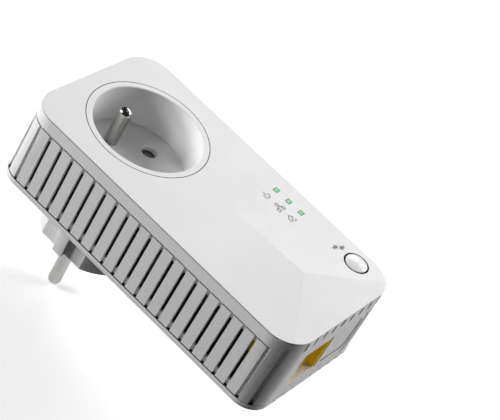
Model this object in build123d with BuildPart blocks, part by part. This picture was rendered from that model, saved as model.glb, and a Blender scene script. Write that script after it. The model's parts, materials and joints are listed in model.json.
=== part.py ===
"""A pass-through powerline adapter with a wall plug, a mains socket and one network port.

Frame: the origin is the midpoint between the two plug pins on the plug's face, which bears
on the wall socket. +Z points away from the wall, +Y from the network port to the socket,
+X to the right when the front is seen with the socket at the top. All sizes in millimetres.
"""

from build123d import *
import os

# ---------------------------------------------------------------- body and its levels
BODY_WIDTH = 60.0
BODY_LENGTH = 117.7
SOCKET_TO_CENTRE = 31.2  # the socket and plug sit this far from mid-length
HALF_WIDTH = BODY_WIDTH / 2
FAR_Y = BODY_LENGTH / 2 - SOCKET_TO_CENTRE
NEAR_Y = -BODY_LENGTH / 2 - SOCKET_TO_CENTRE
BACK_Z = 20.6  # back plate, one plug height off the plug's face
RIM_TOP_Z = 22.6
HOUSING_LOW_Z = 23.0
BAND_Z = 47.1  # lower edge of the front cover's band
FRONT_Z = 52.0
CORNER_BACK = 8.0  # plan radius of the corners at the back, growing to the front
CORNER_FRONT = 10.5
RIM_PROUD = 0.2
RIM_EDGE = 0.45
SEAM = 0.35  # shadow gap under the band
TIGHT_SEAM = 0.1
WALL = 2.2
BAND_WALL = 2.0
TOP_WALL = 2.0
INNER_TOP_Z = FRONT_Z - TOP_WALL
LIP_WALL = 0.8
LIP_GAP = 0.1
UPPER_LIP = 1.5
LOWER_LIP = 2.4
TOP_EDGE = 0.15
EDGE_LINE_DROP = 0.2  # fine groove round the band, just under its top edge
EDGE_LINE_WIDTH = 0.2
EDGE_LINE_DEPTH = 0.2
BODY_PLANE = Plane((0, -SOCKET_TO_CENTRE, 0))
MARGIN = 1.0  # how far cutting shapes run past what they cut

# ---------------------------------------------------------------- faceted front
RIDGE_START_Y = -40.2
RIDGE_PEAK_Y = -70.4
RIDGE_RISE = 1.3

# ---------------------------------------------------------------- grooves and vents
PITCH = 5.123
GROOVE_WIDTH = 1.3
GROOVE_DEPTH = 0.9
SIDE_GROOVES = 21
FIRST_GROOVE_Y = 20.6  # far edge of the groove nearest to the far corner
SLOT_LOW_Z = HOUSING_LOW_Z + 2.5
SLOT_HIGH_Z = BAND_Z - 2.7
END_GROOVES = 9
CORNER_GROOVE_Y_FAR = 24.7
CORNER_GROOVE_Y_NEAR = -87.1
CORNER_GROOVE_X = 26.4
CORNER_GROOVE_TOP_Z = 49.0
NEAR_SEAM_Y = FIRST_GROOVE_Y - (SIDE_GROOVES - 1) * PITCH - GROOVE_WIDTH
NEAR_VENT_LOW_Z = 47.7
NEAR_VENT_HIGH_Z = 51.1
NEAR_VENT_WIDTH = 1.1
RIM_VENTS = 8
RIM_VENT_WIDTH = 1.5
RIM_VENT_HEIGHT = 0.8
RIM_VENT_DEPTH = 2.2

# ---------------------------------------------------------------- socket
PIN_SPACING = 19.0
PIN_X = PIN_SPACING / 2
PIN_RADIUS = 2.4
EARTH_Y = 10.0
WELL_FLOOR_Z = 37.2
WELL_MOUTH_RADIUS = 19.3
WELL_FLOOR_RADIUS = 19.15
WELL_RING_RADIUS = 21.6
WELL_OPENING_RADIUS = 21.8
WELL_FLANGE_RADIUS = 23.4
WELL_FLANGE_HEIGHT = 1.5
WELL_OUTER_RADIUS = 20.8
WELL_FLOOR_WALL = 2.0
WELL_MOUTH_EDGE = 0.5
PIN_HOLE_RADIUS = 2.7
PIN_HOLE_EDGE = 0.35
WELL_BASE_Z = WELL_FLOOR_Z - WELL_FLOOR_WALL
EARTH_PIN_RISE = 14.8
EARTH_PIN_COLLAR_RADIUS = 4.0
EARTH_PIN_COLLAR = 1.5

# ---------------------------------------------------------------- shutter and contact carrier
SHUTTER_THICKNESS = 2.2
SHUTTER_GAP = 0.2
SHUTTER_LENGTH = 26.0
SHUTTER_WIDTH = 7.0
SHUTTER_RAMP_LOW = 0.8
SHUTTER_RAMP_FLAT = 1.2
SHUTTER_TRAVEL = 6.2
CARRIER_RADIUS = 19.0
CARRIER_LOW_Z = 26.2
CARRIER_TOP_Z = WELL_BASE_Z - SHUTTER_THICKNESS - 2 * SHUTTER_GAP
CHANNEL_END_Y = -15.5
CHANNEL_SIDE_GAP = 0.3
CONTACT_POCKET_RADIUS = 3.9
CARRIER_FOOT_X = 16.6
CARRIER_FOOT_Y = 4.9
CARRIER_FOOT_RADIUS = 1.5
SPRING_RADIUS = 0.9
SPRING_WIRE = 0.3
SPRING_TURNS = 9
SPRING_SEAT = 0.15

# ---------------------------------------------------------------- plug
BOSS_RADIUS = 18.4
BOSS_FLAT_X = 16.0
BOSS_RIB_WIDTH = 4.0
BOSS_WALL = 2.0
BOSS_FACE_WALL = 3.0
BOSS_EDGE = 0.6
BOSS_GAP = 0.12
BOSS_FLANGE_RADIUS = 20.6
BOSS_FLANGE_WALL = 1.8
PLUG_PIN_LENGTH = 19.0
PLUG_PIN_TAIL_RADIUS = 2.0
PLUG_PIN_TAIL_GAP = 0.02
PLUG_PIN_RELIEF_GAP = 0.05  # shallow relief in the plug's face round each pin
PLUG_PIN_RELIEF = 0.3
PLUG_PIN_SLEEVE_RADIUS = 4.0
PLUG_PIN_SLEEVE_TOP_Z = 8.0
STRIP = 0.8  # thickness of the brass strips
EARTH_HOLE_RADIUS = 3.1
EARTH_SLEEVE_INNER = 2.45
EARTH_SLEEVE_OUTER = 3.05
EARTH_SLEEVE_LOW_Z = 1.0
EARTH_BRIDGE_Z = 18.0
EARTH_BRIDGE_WIDTH = 5.0
EARTH_BRIDGE_REACH = 15.6
EARTH_TAIL_RADIUS = 2.0
CLIP = 0.6
CLIP_WIDTH = 5.0
CLIP_SLOT_WIDTH = 5.6
CLIP_SLOT_DEPTH = 1.2
CLIP_LOW_Z = 3.5
CLIP_BOW = 0.45
CLIP_TAB_REACH = 14.6

# ---------------------------------------------------------------- terminals
SLEEVE_OUTER = 3.15
SLEEVE_INNER = 2.45
SLEEVE_SLIT = 0.8
SLEEVE_LOW_Z = 20.0
SLEEVE_TOP_Z = 31.5
SLEEVE_JOIN_WIDTH = 3.0
SLEEVE_JOIN_TOP_Z = 27.5
TERMINAL_FOOT_Z = 16.8  # the foot, riveted to the plug pin
TERMINAL_WIDTH = 5.0
TERMINAL_FOOT_Y = 3.0
TERMINAL_RISER_Y = -4.0
TERMINAL_ARM_Z = 25.4
TERMINAL_STEP_Y = -19.5
TERMINAL_END_Y = -27.5
TERMINAL_BEND = 0.9

# ---------------------------------------------------------------- boards
BOARD = 1.6
MAIN_BOARD_Z = 25.4
MAIN_BOARD_TOP = MAIN_BOARD_Z + BOARD
MAIN_BOARD_HALF_X = 26.0
MAIN_BOARD_FAR_Y = -23.5
MAIN_BOARD_NEAR_Y = -87.0
BOARD_POST_CLEARANCE = 4.8
STANDOFF_RADIUS = 2.8
STANDOFFS = ((-21.5, -62.0), (10.0, -77.5), (23.0, -46.0))
SIDE_BOARD_Z = 42.4
SIDE_BOARD_TOP = SIDE_BOARD_Z + BOARD
SIDE_BOARD_LOW_X = 14.2
SIDE_BOARD_HIGH_X = 27.1
SIDE_BOARD_FAR_Y = -37.0
SIDE_BOARD_NEAR_Y = -79.9
SIDE_POSTS = ((16.9, -58.5), (16.9, -70.0))
SIDE_POST_RADIUS = 2.3

# ---------------------------------------------------------------- screws
CASE_POSTS = ((-20.5, 18.3), (20.5, 18.3), (-22.6, -83.4), (22.6, -83.4))
CASE_POST_RADIUS = 2.9
CASE_SLEEVE_RADIUS = 4.0
CASE_SLEEVE_TOP_Z = 26.0
CASE_SCREW_RADIUS = 1.45
CASE_HEAD_RADIUS = 2.7
CASE_HEAD = 1.8
CASE_HEAD_Z = 22.4
CASE_SCREW_LENGTH = 12.0
CASE_RECESS_RADIUS = 2.95
CASE_HOLE_RADIUS = 1.6
DRIVE_RADIUS = 1.2
DRIVE_DEPTH = 0.9
BOARD_SCREW_RADIUS = 1.1
BOARD_HEAD_RADIUS = 2.0
BOARD_HEAD = 1.3
BOARD_SCREW_LENGTH = 4.2
SIDE_SCREW_LENGTH = 5.0
BOARD_SCREW_LOW_Z = MAIN_BOARD_TOP - BOARD_SCREW_LENGTH
CASE_SCREW_TOP_Z = CASE_HEAD_Z + CASE_HEAD + CASE_SCREW_LENGTH
SIDE_SCREW_TOP_Z = SIDE_BOARD_Z + SIDE_SCREW_LENGTH
SCREW_HOLE_GAP = 0.2

# ---------------------------------------------------------------- indicators and button
LED_X = 22.4
LED_Y = (-40.6, -46.25, -51.9)
WINDOW_X = 2.2
WINDOW_Y = 1.8
WINDOW_GAP = 0.05
LED_X_SIZE = 2.8
LED_Y_SIZE = 3.0
LED_HEIGHT = 1.1
PIPE_LOW_Z = 45.5
PIPE_BAR_LOW_Z = 47.4
PIPE_BAR_WIDTH = 3.6
PIPE_PROUD = 0.05
BUTTON_X = 22.75
BUTTON_Y = -76.7
BUTTON_HOLE_RADIUS = 4.6
BUTTON_RADIUS = 4.12
BUTTON_EDGE_Z = 52.25
BUTTON_DOME = 0.55
BUTTON_EDGE = 0.35
BUTTON_TRAVEL = 0.5
BUTTON_FLANGE = 0.8
BUTTON_LOW_Z = 49.1
BUTTON_TAB_REACH = 5.6
BUTTON_TAB_WIDTH = 3.0
BUTTON_STEM_RADIUS = 1.6
SWITCH_SIZE = 6.0
SWITCH_HEIGHT = 3.5
SWITCH_EDGE = 0.4
PLUNGER_RADIUS = 1.7
PLUNGER_RISE = 1.1
PLUNGER_SINK = 1.4
PLUNGER_GAP = 0.05
STEM_GAP = 0.05

# ---------------------------------------------------------------- port end
PANEL_HALF_X = 19.5
PANEL_LOW_Z = 24.6
PANEL_HIGH_Z = 44.9
PANEL_CORNER = 3.0
PANEL_INSET = 0.15
PANEL_GAP = 0.15
PANEL_WALL = 1.9
PANEL_FLANGE = 0.7
PANEL_FLANGE_REACH = 0.9
PORT_LOW_X = -15.6
PORT_HIGH_X = 0.9
PORT_LOW_Z = 27.3
PORT_HIGH_Z = 42.3
PORT_X = (PORT_LOW_X + PORT_HIGH_X) / 2
BLANK_LOW_X = 2.6
BLANK_HIGH_X = 17.9
BLANK_LOW_Z = 27.7
BLANK_HIGH_Z = 42.3
BLANK_CORNER = 2.0
BLANK_DEPTH = 0.2
JACK_WIDTH = 16.0
JACK_HEIGHT = 15.0
JACK_LOW_Z = MAIN_BOARD_TOP + 0.1
JACK_FACE_Y = NEAR_Y + 2.75
JACK_DEPTH = 17.0
HOOD_WALL = 0.9
HOOD_FRONT_Y = NEAR_Y + 0.35
PLUG_CAVITY_WIDTH = 11.9
PLUG_CAVITY_HEIGHT = 7.0
PLUG_CAVITY_LOW_Z = JACK_LOW_Z + 2.2
PLUG_CAVITY_DEPTH = 13.0
LATCH_WIDTH = 6.4
LATCH_HEIGHT = 2.2
LATCH_NOSE_WIDTH = 4.2
LATCH_NOSE_HEIGHT = 1.4
JACK_WIRES = 8
JACK_WIRE_PITCH = 1.02
JACK_WIRE = 0.45
JACK_WIRE_FRONT = 3.0
JACK_WIRE_REACH = 8.0
JACK_WIRE_DROP = 2.2

# ---------------------------------------------------------------- electronics
CORE_X = -14.0
CORE_Y = -50.0
CORE_WIDTH = 20.0
CORE_DEPTH = 6.0
CORE_LOW_Z = 27.5
CORE_TOP_Z = 44.0
CORE_YOKE = 3.0
CORE_LEG = 6.0
CORE_SIDE_LEG = 3.0
BOBBIN_WALL = 0.8
BOBBIN_FLANGE = 1.0
BOBBIN_GAP = 0.2
BOBBIN_LENGTH = 19.0
BOBBIN_TOP_LENGTH = 15.0
BOBBIN_RAIL = 2.0
WINDING_WALL = 2.6
BULK_CAPACITORS = ((-20.0, -33.0), (-9.0, -33.0))
BULK_RADIUS = 5.0
BULK_HEIGHT = 16.0
BULK_EDGE = 0.6
BULK_WAIST_Z = 2.2
BULK_WAIST = 0.4
CHOKE_X = 5.5
CHOKE_Y = -37.0
CHOKE_OUTER = 7.5
CHOKE_INNER = 3.5
CHOKE_HEIGHT = 6.0
CHOKE_WIRE = 0.8
CHOKE_GAP_WIDTH = 5.0
SUPPRESSOR_LOW = (15.5, -39.5)
SUPPRESSOR_HIGH = (20.5, -26.5)
SUPPRESSOR_HEIGHT = 11.0
FUSE_X = 23.8
FUSE_Y = -32.0
FUSE_RADIUS = 1.8
FUSE_CAP_RADIUS = 2.0
FUSE_LENGTH = 10.0
FUSE_CAP = 2.2
VARISTOR_X = -22.0
VARISTOR_Y = -26.0
VARISTOR_RADIUS = 4.0
VARISTOR_THICKNESS = 3.0
VARISTOR_LEG = 1.0
COUPLER_LOW = (2.0, -53.5)
COUPLER_HIGH = (10.0, -46.5)
COUPLER_HEIGHT = 6.0
CHIP_X = 6.0
CHIP_Y = -62.0
CHIP_SIZE = 12.0
CHIP_HEIGHT = 1.2
SINK_SIZE = 14.0
SINK_BASE = 1.2
SINK_HEIGHT = 6.0
SINK_FINS = 6
SINK_FIN = 0.9
MEMORY_LOW = (14.0, -55.5)
MEMORY_HIGH = (20.0, -50.5)
MEMORY_HEIGHT = 1.0
MAGNETICS_LOW = (-14.25, -69.0)
MAGNETICS_HIGH = (-1.75, -62.0)
MAGNETICS_HEIGHT = 5.0
HEADER_LOW = (19.5, -69.0)
HEADER_HIGH = (24.5, -59.0)
HEADER_TOP_Z = 35.5
HEADER_PITCH = 2.0
HEADER_COLUMNS = 2
HEADER_ROWS = 4
HEADER_PIN = 0.6
CASE_EDGE = 0.5
COMPONENT_EDGE_SHARE = 0.125  # of a component's height, chamfered at its top

# ---------------------------------------------------------------- rating label
LABEL_WIDTH = 34.0
LABEL_LENGTH = 38.0
LABEL_Y = -56.0
LABEL_THICKNESS = 0.2
LABEL_CORNER = 2.0


# ================================================================ shared forms
def corner_radius(level):
    """Plan radius of the body's corners at a height, between back and front."""
    share = (level - BACK_Z) / (FRONT_Z - BACK_Z)
    return CORNER_BACK + share * (CORNER_FRONT - CORNER_BACK)


def body_form(low, high, inset=0.0):
    """The body's outer form between two heights, shrunk by inset."""
    with BuildPart() as form:
        for level in (low, high):
            with BuildSketch(BODY_PLANE.offset(level)):
                RectangleRounded(
                    BODY_WIDTH - 2 * inset,
                    BODY_LENGTH - 2 * inset,
                    corner_radius(level) - inset,
                )
        loft(ruled=True)
    return form.part


def block(low, high, mode=Mode.ADD):
    """A plain block between two corner points, worked into the part being built."""
    centre = [(a + b) / 2 for a, b in zip(low, high)]
    with Locations(tuple(centre)):
        Box(*[abs(b - a) for a, b in zip(low, high)], mode=mode)


def cylinder(x, y, low, high, radius, mode=Mode.ADD):
    """An upright cylinder between two heights, worked into the part being built."""
    with Locations((x, y, (low + high) / 2)):
        Cylinder(radius, high - low, mode=mode)


def crown_half(side):
    """Half of the ground under the front, from mid-width out past one long side.

    Going towards the port end, straight lines from the ridge to the long side's edge turn
    until they reach the crease, and the near facet falls from the crease to the end.
    """
    reach = 1 + MARGIN / HALF_WIDTH
    near_slope = RIDGE_RISE / (RIDGE_PEAK_Y - NEAR_Y)
    end_y = NEAR_Y - 2 * MARGIN
    end_z = FRONT_Z - near_slope * 2 * MARGIN
    crease_y = RIDGE_PEAK_Y - reach * (RIDGE_PEAK_Y - NEAR_Y)
    crease_z = FRONT_Z + RIDGE_RISE - reach * RIDGE_RISE
    with BuildPart() as half:
        for x, peak_y, peak_z in (
            (0, RIDGE_PEAK_Y, FRONT_Z + RIDGE_RISE),
            (side * reach * HALF_WIDTH, crease_y, crease_z),
        ):
            with BuildSketch(Plane.YZ.offset(x)):
                with BuildLine():
                    Polyline(
                        (RIDGE_START_Y, BACK_Z),
                        (RIDGE_START_Y, FRONT_Z),
                        (peak_y, peak_z),
                        (end_y, end_z),
                        (end_y, BACK_Z),
                        close=True,
                    )
                make_face()
        loft(ruled=True)
    return half.part


def crown():
    """Everything under the front face: flat by the socket, a ridge, and two creases."""
    with BuildPart() as solid:
        block(
            (-HALF_WIDTH - MARGIN, RIDGE_START_Y, BACK_Z),
            (HALF_WIDTH + MARGIN, FAR_Y + MARGIN, FRONT_Z),
        )
        for side in (-1, 1):
            add(crown_half(side))
    return solid.part


def slots(plane, places, width, height, depth):
    """Upright bars in a row on a plane, used to cut grooves and vents."""
    with BuildPart() as bars:
        with BuildSketch(plane):
            with Locations(*places):
                Rectangle(width, height)
        extrude(amount=depth)
    return bars.part


def front_height(x, y):
    """Height of the faceted front over a point of its right or left facet."""
    share = abs(x) / HALF_WIDTH
    along = (RIDGE_START_Y - y) / (
        RIDGE_START_Y - RIDGE_PEAK_Y + share * (RIDGE_PEAK_Y - NEAR_Y)
    )
    return FRONT_Z + RIDGE_RISE * along * (1 - share)


os.makedirs("parts", exist_ok=True)

# ================================================================ side housing
# A U of walls round both long sides and the socket end, grooved all round. The grooves
# away from the corners have ventilation slots in their floors.
HOUSING_TOP_Z = BAND_Z - SEAM
groove_middle_z = (HOUSING_LOW_Z + HOUSING_TOP_Z) / 2
groove_height = HOUSING_TOP_Z - HOUSING_LOW_Z + 2 * MARGIN
slot_middle_z = (SLOT_LOW_Z + SLOT_HIGH_Z) / 2
slot_height = SLOT_HIGH_Z - SLOT_LOW_Z
side_groove_y = [FIRST_GROOVE_Y - GROOVE_WIDTH / 2 - i * PITCH for i in range(SIDE_GROOVES)]
side_slot_y = side_groove_y[1:-1]
end_groove_x = [(i - (END_GROOVES - 1) / 2) * PITCH for i in range(END_GROOVES)]
left_face = Plane((-HALF_WIDTH - MARGIN, 0, 0), x_dir=(0, 1, 0), z_dir=(1, 0, 0))
far_face = Plane((0, FAR_Y + MARGIN, 0), x_dir=(1, 0, 0), z_dir=(0, -1, 0))
near_face = Plane((0, NEAR_Y - MARGIN, 0), x_dir=(-1, 0, 0), z_dir=(0, 1, 0))

housing_outside = body_form(HOUSING_LOW_Z, HOUSING_TOP_Z)
housing_inside = body_form(HOUSING_LOW_Z - MARGIN, HOUSING_TOP_Z + MARGIN, WALL)
lip_outside = body_form(HOUSING_TOP_Z - WALL, HOUSING_TOP_Z + UPPER_LIP, BAND_WALL + LIP_GAP)
lip_inside = body_form(
    HOUSING_TOP_Z - WALL - MARGIN, HOUSING_TOP_Z + UPPER_LIP + MARGIN, BAND_WALL + LIP_GAP + LIP_WALL
)
side_grooves = slots(
    left_face,
    [(y, groove_middle_z) for y in side_groove_y],
    GROOVE_WIDTH,
    groove_height,
    GROOVE_DEPTH + MARGIN,
)
side_slots = slots(
    left_face,
    [(y, slot_middle_z) for y in side_slot_y],
    GROOVE_WIDTH,
    slot_height,
    BODY_WIDTH + 2 * MARGIN,
)
far_grooves = slots(
    far_face,
    [(x, groove_middle_z) for x in end_groove_x],
    GROOVE_WIDTH,
    groove_height,
    GROOVE_DEPTH + MARGIN,
)
far_slots = slots(
    far_face, [(x, slot_middle_z) for x in end_groove_x], GROOVE_WIDTH, slot_height, WALL + 2 * MARGIN
)


def cut_corner_groove(side, y, high):
    """The upright groove in the middle of a corner, its floor parallel to the long side."""
    block(
        (side * CORNER_GROOVE_X, y - GROOVE_WIDTH / 2, HOUSING_LOW_Z - MARGIN),
        (side * (HALF_WIDTH + MARGIN), y + GROOVE_WIDTH / 2, high),
        mode=Mode.SUBTRACT,
    )


with BuildPart() as upper_lip:
    add(lip_outside)
    add(lip_inside, mode=Mode.SUBTRACT)

with BuildPart() as side_housing:
    add(housing_outside)
    add(housing_inside, mode=Mode.SUBTRACT)
    add(upper_lip.part)
    add(side_grooves, mode=Mode.SUBTRACT)
    add(side_grooves.mirror(Plane.YZ), mode=Mode.SUBTRACT)
    add(far_grooves, mode=Mode.SUBTRACT)
    add(side_slots, mode=Mode.SUBTRACT)
    add(far_slots, mode=Mode.SUBTRACT)
    for side in (-1, 1):
        cut_corner_groove(side, CORNER_GROOVE_Y_FAR, BAND_Z)
    block(
        (-HALF_WIDTH - MARGIN, NEAR_Y - MARGIN, BACK_Z),
        (HALF_WIDTH + MARGIN, NEAR_SEAM_Y, FRONT_Z),
        mode=Mode.SUBTRACT,
    )
side_housing.part.label = "side_housing"
export_step(side_housing.part, "parts/side_housing.step")

# ================================================================ front cover
# The faceted face, a band round its edge, and the whole port end down to the back cover.
NEAR_WALL_LOW_Z = RIM_TOP_Z + TIGHT_SEAM
cover_outside = body_form(NEAR_WALL_LOW_Z, FRONT_Z + 2 * RIDGE_RISE)
crown_solid = crown()
cover_inside = body_form(NEAR_WALL_LOW_Z - MARGIN, INNER_TOP_Z, BAND_WALL)
near_vents = slots(
    near_face,
    [(x, (NEAR_VENT_LOW_Z + NEAR_VENT_HIGH_Z) / 2) for x in end_groove_x],
    NEAR_VENT_WIDTH,
    NEAR_VENT_HIGH_Z - NEAR_VENT_LOW_Z,
    GROOVE_DEPTH + MARGIN,
)
near_vent_holes = slots(
    near_face,
    [(x, (NEAR_VENT_LOW_Z + INNER_TOP_Z) / 2) for x in end_groove_x],
    NEAR_VENT_WIDTH,
    INNER_TOP_Z - NEAR_VENT_LOW_Z,
    WALL + 2 * MARGIN,
)
panel_middle_z = (PANEL_LOW_Z + PANEL_HIGH_Z) / 2
panel_height = PANEL_HIGH_Z - PANEL_LOW_Z
panel_plane = Plane((0, NEAR_Y - MARGIN, panel_middle_z), x_dir=(1, 0, 0), z_dir=(0, -1, 0))
with BuildPart() as panel_hole:
    with BuildSketch(panel_plane):
        RectangleRounded(2 * (PANEL_HALF_X + PANEL_GAP), panel_height + 2 * PANEL_GAP, PANEL_CORNER)
    extrude(amount=-(WALL + 2 * MARGIN))

edge_line_top_z = FRONT_Z - EDGE_LINE_DROP
edge_line_low_z = edge_line_top_z - EDGE_LINE_WIDTH
with BuildPart() as edge_line:
    add(body_form(edge_line_low_z, edge_line_top_z, -MARGIN))
    add(body_form(edge_line_low_z, edge_line_top_z, EDGE_LINE_DEPTH), mode=Mode.SUBTRACT)

with BuildPart() as front_cover:
    add(cover_outside)
    add(crown_solid, mode=Mode.INTERSECT)
    edges_at_front = front_cover.edges().filter_by_position(
        Axis.Z, FRONT_Z - TOP_EDGE, FRONT_Z + TOP_EDGE
    )
    rim_edges = [
        edge
        for edge in edges_at_front
        if abs(edge.center().X) > HALF_WIDTH - CORNER_FRONT
        or edge.center().Y > FAR_Y - MARGIN
        or edge.center().Y < NEAR_Y + MARGIN
    ]
    fillet(rim_edges, TOP_EDGE)
    add(edge_line.part, mode=Mode.SUBTRACT)
    add(cover_inside, mode=Mode.SUBTRACT)
    block(
        (-HALF_WIDTH - MARGIN, NEAR_SEAM_Y - TIGHT_SEAM, NEAR_WALL_LOW_Z - MARGIN),
        (HALF_WIDTH + MARGIN, FAR_Y + MARGIN, BAND_Z),
        mode=Mode.SUBTRACT,
    )
    for x, y in CASE_POSTS:
        cylinder(x, y, CASE_SLEEVE_TOP_Z + TIGHT_SEAM, INNER_TOP_Z, CASE_POST_RADIUS)
        cylinder(x, y, CASE_SLEEVE_TOP_Z, CASE_SCREW_TOP_Z, CASE_SCREW_RADIUS, mode=Mode.SUBTRACT)
    for x, y in SIDE_POSTS:
        cylinder(x, y, SIDE_BOARD_TOP, INNER_TOP_Z, SIDE_POST_RADIUS)
        cylinder(x, y, SIDE_BOARD_TOP, SIDE_SCREW_TOP_Z, BOARD_SCREW_RADIUS, mode=Mode.SUBTRACT)
    cylinder(0, 0, BAND_Z, FRONT_Z + MARGIN, WELL_OPENING_RADIUS, mode=Mode.SUBTRACT)
    with BuildSketch(Plane.XY.offset(BAND_Z)):
        with Locations(*[(LED_X, y) for y in LED_Y]):
            Rectangle(WINDOW_X + 2 * WINDOW_GAP, WINDOW_Y + 2 * WINDOW_GAP)
    extrude(amount=FRONT_Z + RIDGE_RISE - BAND_Z, mode=Mode.SUBTRACT)
    cylinder(
        BUTTON_X,
        BUTTON_Y,
        BUTTON_LOW_Z - MARGIN,
        FRONT_Z + 2 * RIDGE_RISE,
        BUTTON_HOLE_RADIUS,
        mode=Mode.SUBTRACT,
    )
    add(panel_hole.part, mode=Mode.SUBTRACT)
    add(near_vents, mode=Mode.SUBTRACT)
    add(near_vent_holes, mode=Mode.SUBTRACT)
    for side in (-1, 1):
        cut_corner_groove(side, CORNER_GROOVE_Y_NEAR, CORNER_GROOVE_TOP_Z)
front_cover.part.label = "front_cover"
export_step(front_cover.part, "parts/front_cover.step")

# ================================================================ plug body
# The round plug that goes into the wall socket, with a flat and a rib on each side, a
# side recess for each earth clip, and a flange that bears on the inside of the back cover.


def boss_outline(grow=0.0):
    """The plug's outline, grown all round."""
    with BuildSketch() as outline:
        Rectangle(2 * (BOSS_FLAT_X + grow), 2 * BOSS_RADIUS + 2 * MARGIN)
        Rectangle(2 * BOSS_RADIUS + 2 * MARGIN, BOSS_RIB_WIDTH + 2 * grow)
        Circle(BOSS_RADIUS + grow, mode=Mode.INTERSECT)
    return outline.sketch


FLANGE_TOP_Z = RIM_TOP_Z + BOSS_FLANGE_WALL
CLIP_TAB_Z = EARTH_BRIDGE_Z + STRIP
plug_outline = boss_outline()
with BuildPart() as plug_body:
    with BuildSketch():
        add(plug_outline)
    extrude(amount=RIM_TOP_Z)
    chamfer(plug_body.edges().group_by(Axis.Z)[0], BOSS_EDGE)
    cylinder(0, 0, RIM_TOP_Z, FLANGE_TOP_Z, BOSS_FLANGE_RADIUS)
    with BuildSketch(Plane.XY.offset(BOSS_FACE_WALL)):
        Circle(BOSS_RADIUS - BOSS_WALL)
        Rectangle(2 * (BOSS_FLAT_X - BOSS_WALL), 2 * BOSS_RADIUS, mode=Mode.INTERSECT)
    extrude(amount=FLANGE_TOP_Z, mode=Mode.SUBTRACT)
    for x in (-PIN_X, PIN_X):
        cylinder(x, 0, BOSS_FACE_WALL, PLUG_PIN_SLEEVE_TOP_Z, PLUG_PIN_SLEEVE_RADIUS)
        cylinder(
            x,
            0,
            0,
            PLUG_PIN_SLEEVE_TOP_Z,
            PLUG_PIN_TAIL_RADIUS + PLUG_PIN_TAIL_GAP,
            mode=Mode.SUBTRACT,
        )
        cylinder(x, 0, 0, PLUG_PIN_RELIEF, PIN_RADIUS + PLUG_PIN_RELIEF_GAP, mode=Mode.SUBTRACT)
    cylinder(0, EARTH_Y, 0, BOSS_FACE_WALL, EARTH_HOLE_RADIUS, mode=Mode.SUBTRACT)
    for side in (-1, 1):
        block(
            (-CLIP_SLOT_WIDTH / 2, side * (BOSS_RADIUS - CLIP_SLOT_DEPTH), CLIP_LOW_Z - CLIP),
            (CLIP_SLOT_WIDTH / 2, side * (BOSS_RADIUS + MARGIN), CLIP_TAB_Z + 2 * CLIP),
            mode=Mode.SUBTRACT,
        )
        block(
            (-CLIP_SLOT_WIDTH / 2, side * (BOSS_RADIUS - 2 * BOSS_WALL), CLIP_TAB_Z - CLIP / 2),
            (CLIP_SLOT_WIDTH / 2, side * BOSS_RADIUS, CLIP_TAB_Z + 2 * CLIP),
            mode=Mode.SUBTRACT,
        )
plug_body.part.label = "plug_body"
export_step(plug_body.part, "parts/plug_body.step")

# ================================================================ back cover
# A shallow tray: a proud rounded rim, a locating lip inside the housing, standoffs for
# the main board and recessed sleeves for the four case screws.
back_outside = body_form(BACK_Z, RIM_TOP_Z, -RIM_PROUD)
lower_lip_outside = body_form(RIM_TOP_Z, RIM_TOP_Z + LOWER_LIP, WALL + LIP_GAP)
lower_lip_inside = body_form(
    RIM_TOP_Z - MARGIN, RIM_TOP_Z + LOWER_LIP + MARGIN, WALL + LIP_GAP + LIP_WALL
)
plug_hole = boss_outline(BOSS_GAP)
rim_vents = slots(
    near_face,
    [((i - (RIM_VENTS - 1) / 2) * PITCH, (BACK_Z + RIM_TOP_Z) / 2) for i in range(RIM_VENTS)],
    RIM_VENT_WIDTH,
    RIM_VENT_HEIGHT,
    MARGIN + RIM_VENT_DEPTH,
)
with BuildPart() as lower_lip:
    add(lower_lip_outside)
    add(lower_lip_inside, mode=Mode.SUBTRACT)
    block(
        (-PANEL_HALF_X - 2 * MARGIN, NEAR_Y, RIM_TOP_Z),
        (PANEL_HALF_X + 2 * MARGIN, NEAR_Y + 2 * WALL, RIM_TOP_Z + LOWER_LIP),
        mode=Mode.SUBTRACT,
    )

with BuildPart() as back_cover:
    add(back_outside)
    fillet(back_cover.edges().filter_by_position(Axis.Z, BACK_Z, BACK_Z), RIM_EDGE)
    fillet(back_cover.edges().filter_by_position(Axis.Z, RIM_TOP_Z, RIM_TOP_Z), RIM_EDGE)
    add(lower_lip.part)
    for x, y in CASE_POSTS:
        cylinder(x, y, RIM_TOP_Z, CASE_SLEEVE_TOP_Z, CASE_SLEEVE_RADIUS)
        cylinder(x, y, BACK_Z - MARGIN, CASE_HEAD_Z + CASE_HEAD, CASE_RECESS_RADIUS, mode=Mode.SUBTRACT)
        cylinder(x, y, BACK_Z, CASE_SLEEVE_TOP_Z + MARGIN, CASE_HOLE_RADIUS, mode=Mode.SUBTRACT)
    for x, y in STANDOFFS:
        cylinder(x, y, RIM_TOP_Z, MAIN_BOARD_Z, STANDOFF_RADIUS)
        cylinder(x, y, BOARD_SCREW_LOW_Z, MAIN_BOARD_Z + MARGIN, BOARD_SCREW_RADIUS, mode=Mode.SUBTRACT)
    with BuildSketch(Plane.XY.offset(BACK_Z - MARGIN)):
        add(plug_hole)
    extrude(amount=RIM_TOP_Z - BACK_Z + 2 * MARGIN, mode=Mode.SUBTRACT)
    with BuildSketch(Plane.XY.offset(BACK_Z)):
        with Locations((0, LABEL_Y)):
            RectangleRounded(LABEL_WIDTH + 2 * TIGHT_SEAM, LABEL_LENGTH + 2 * TIGHT_SEAM, LABEL_CORNER)
    extrude(amount=LABEL_THICKNESS, mode=Mode.SUBTRACT)
    add(rim_vents, mode=Mode.SUBTRACT)
back_cover.part.label = "back_cover"
export_step(back_cover.part, "parts/back_cover.step")

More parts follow.
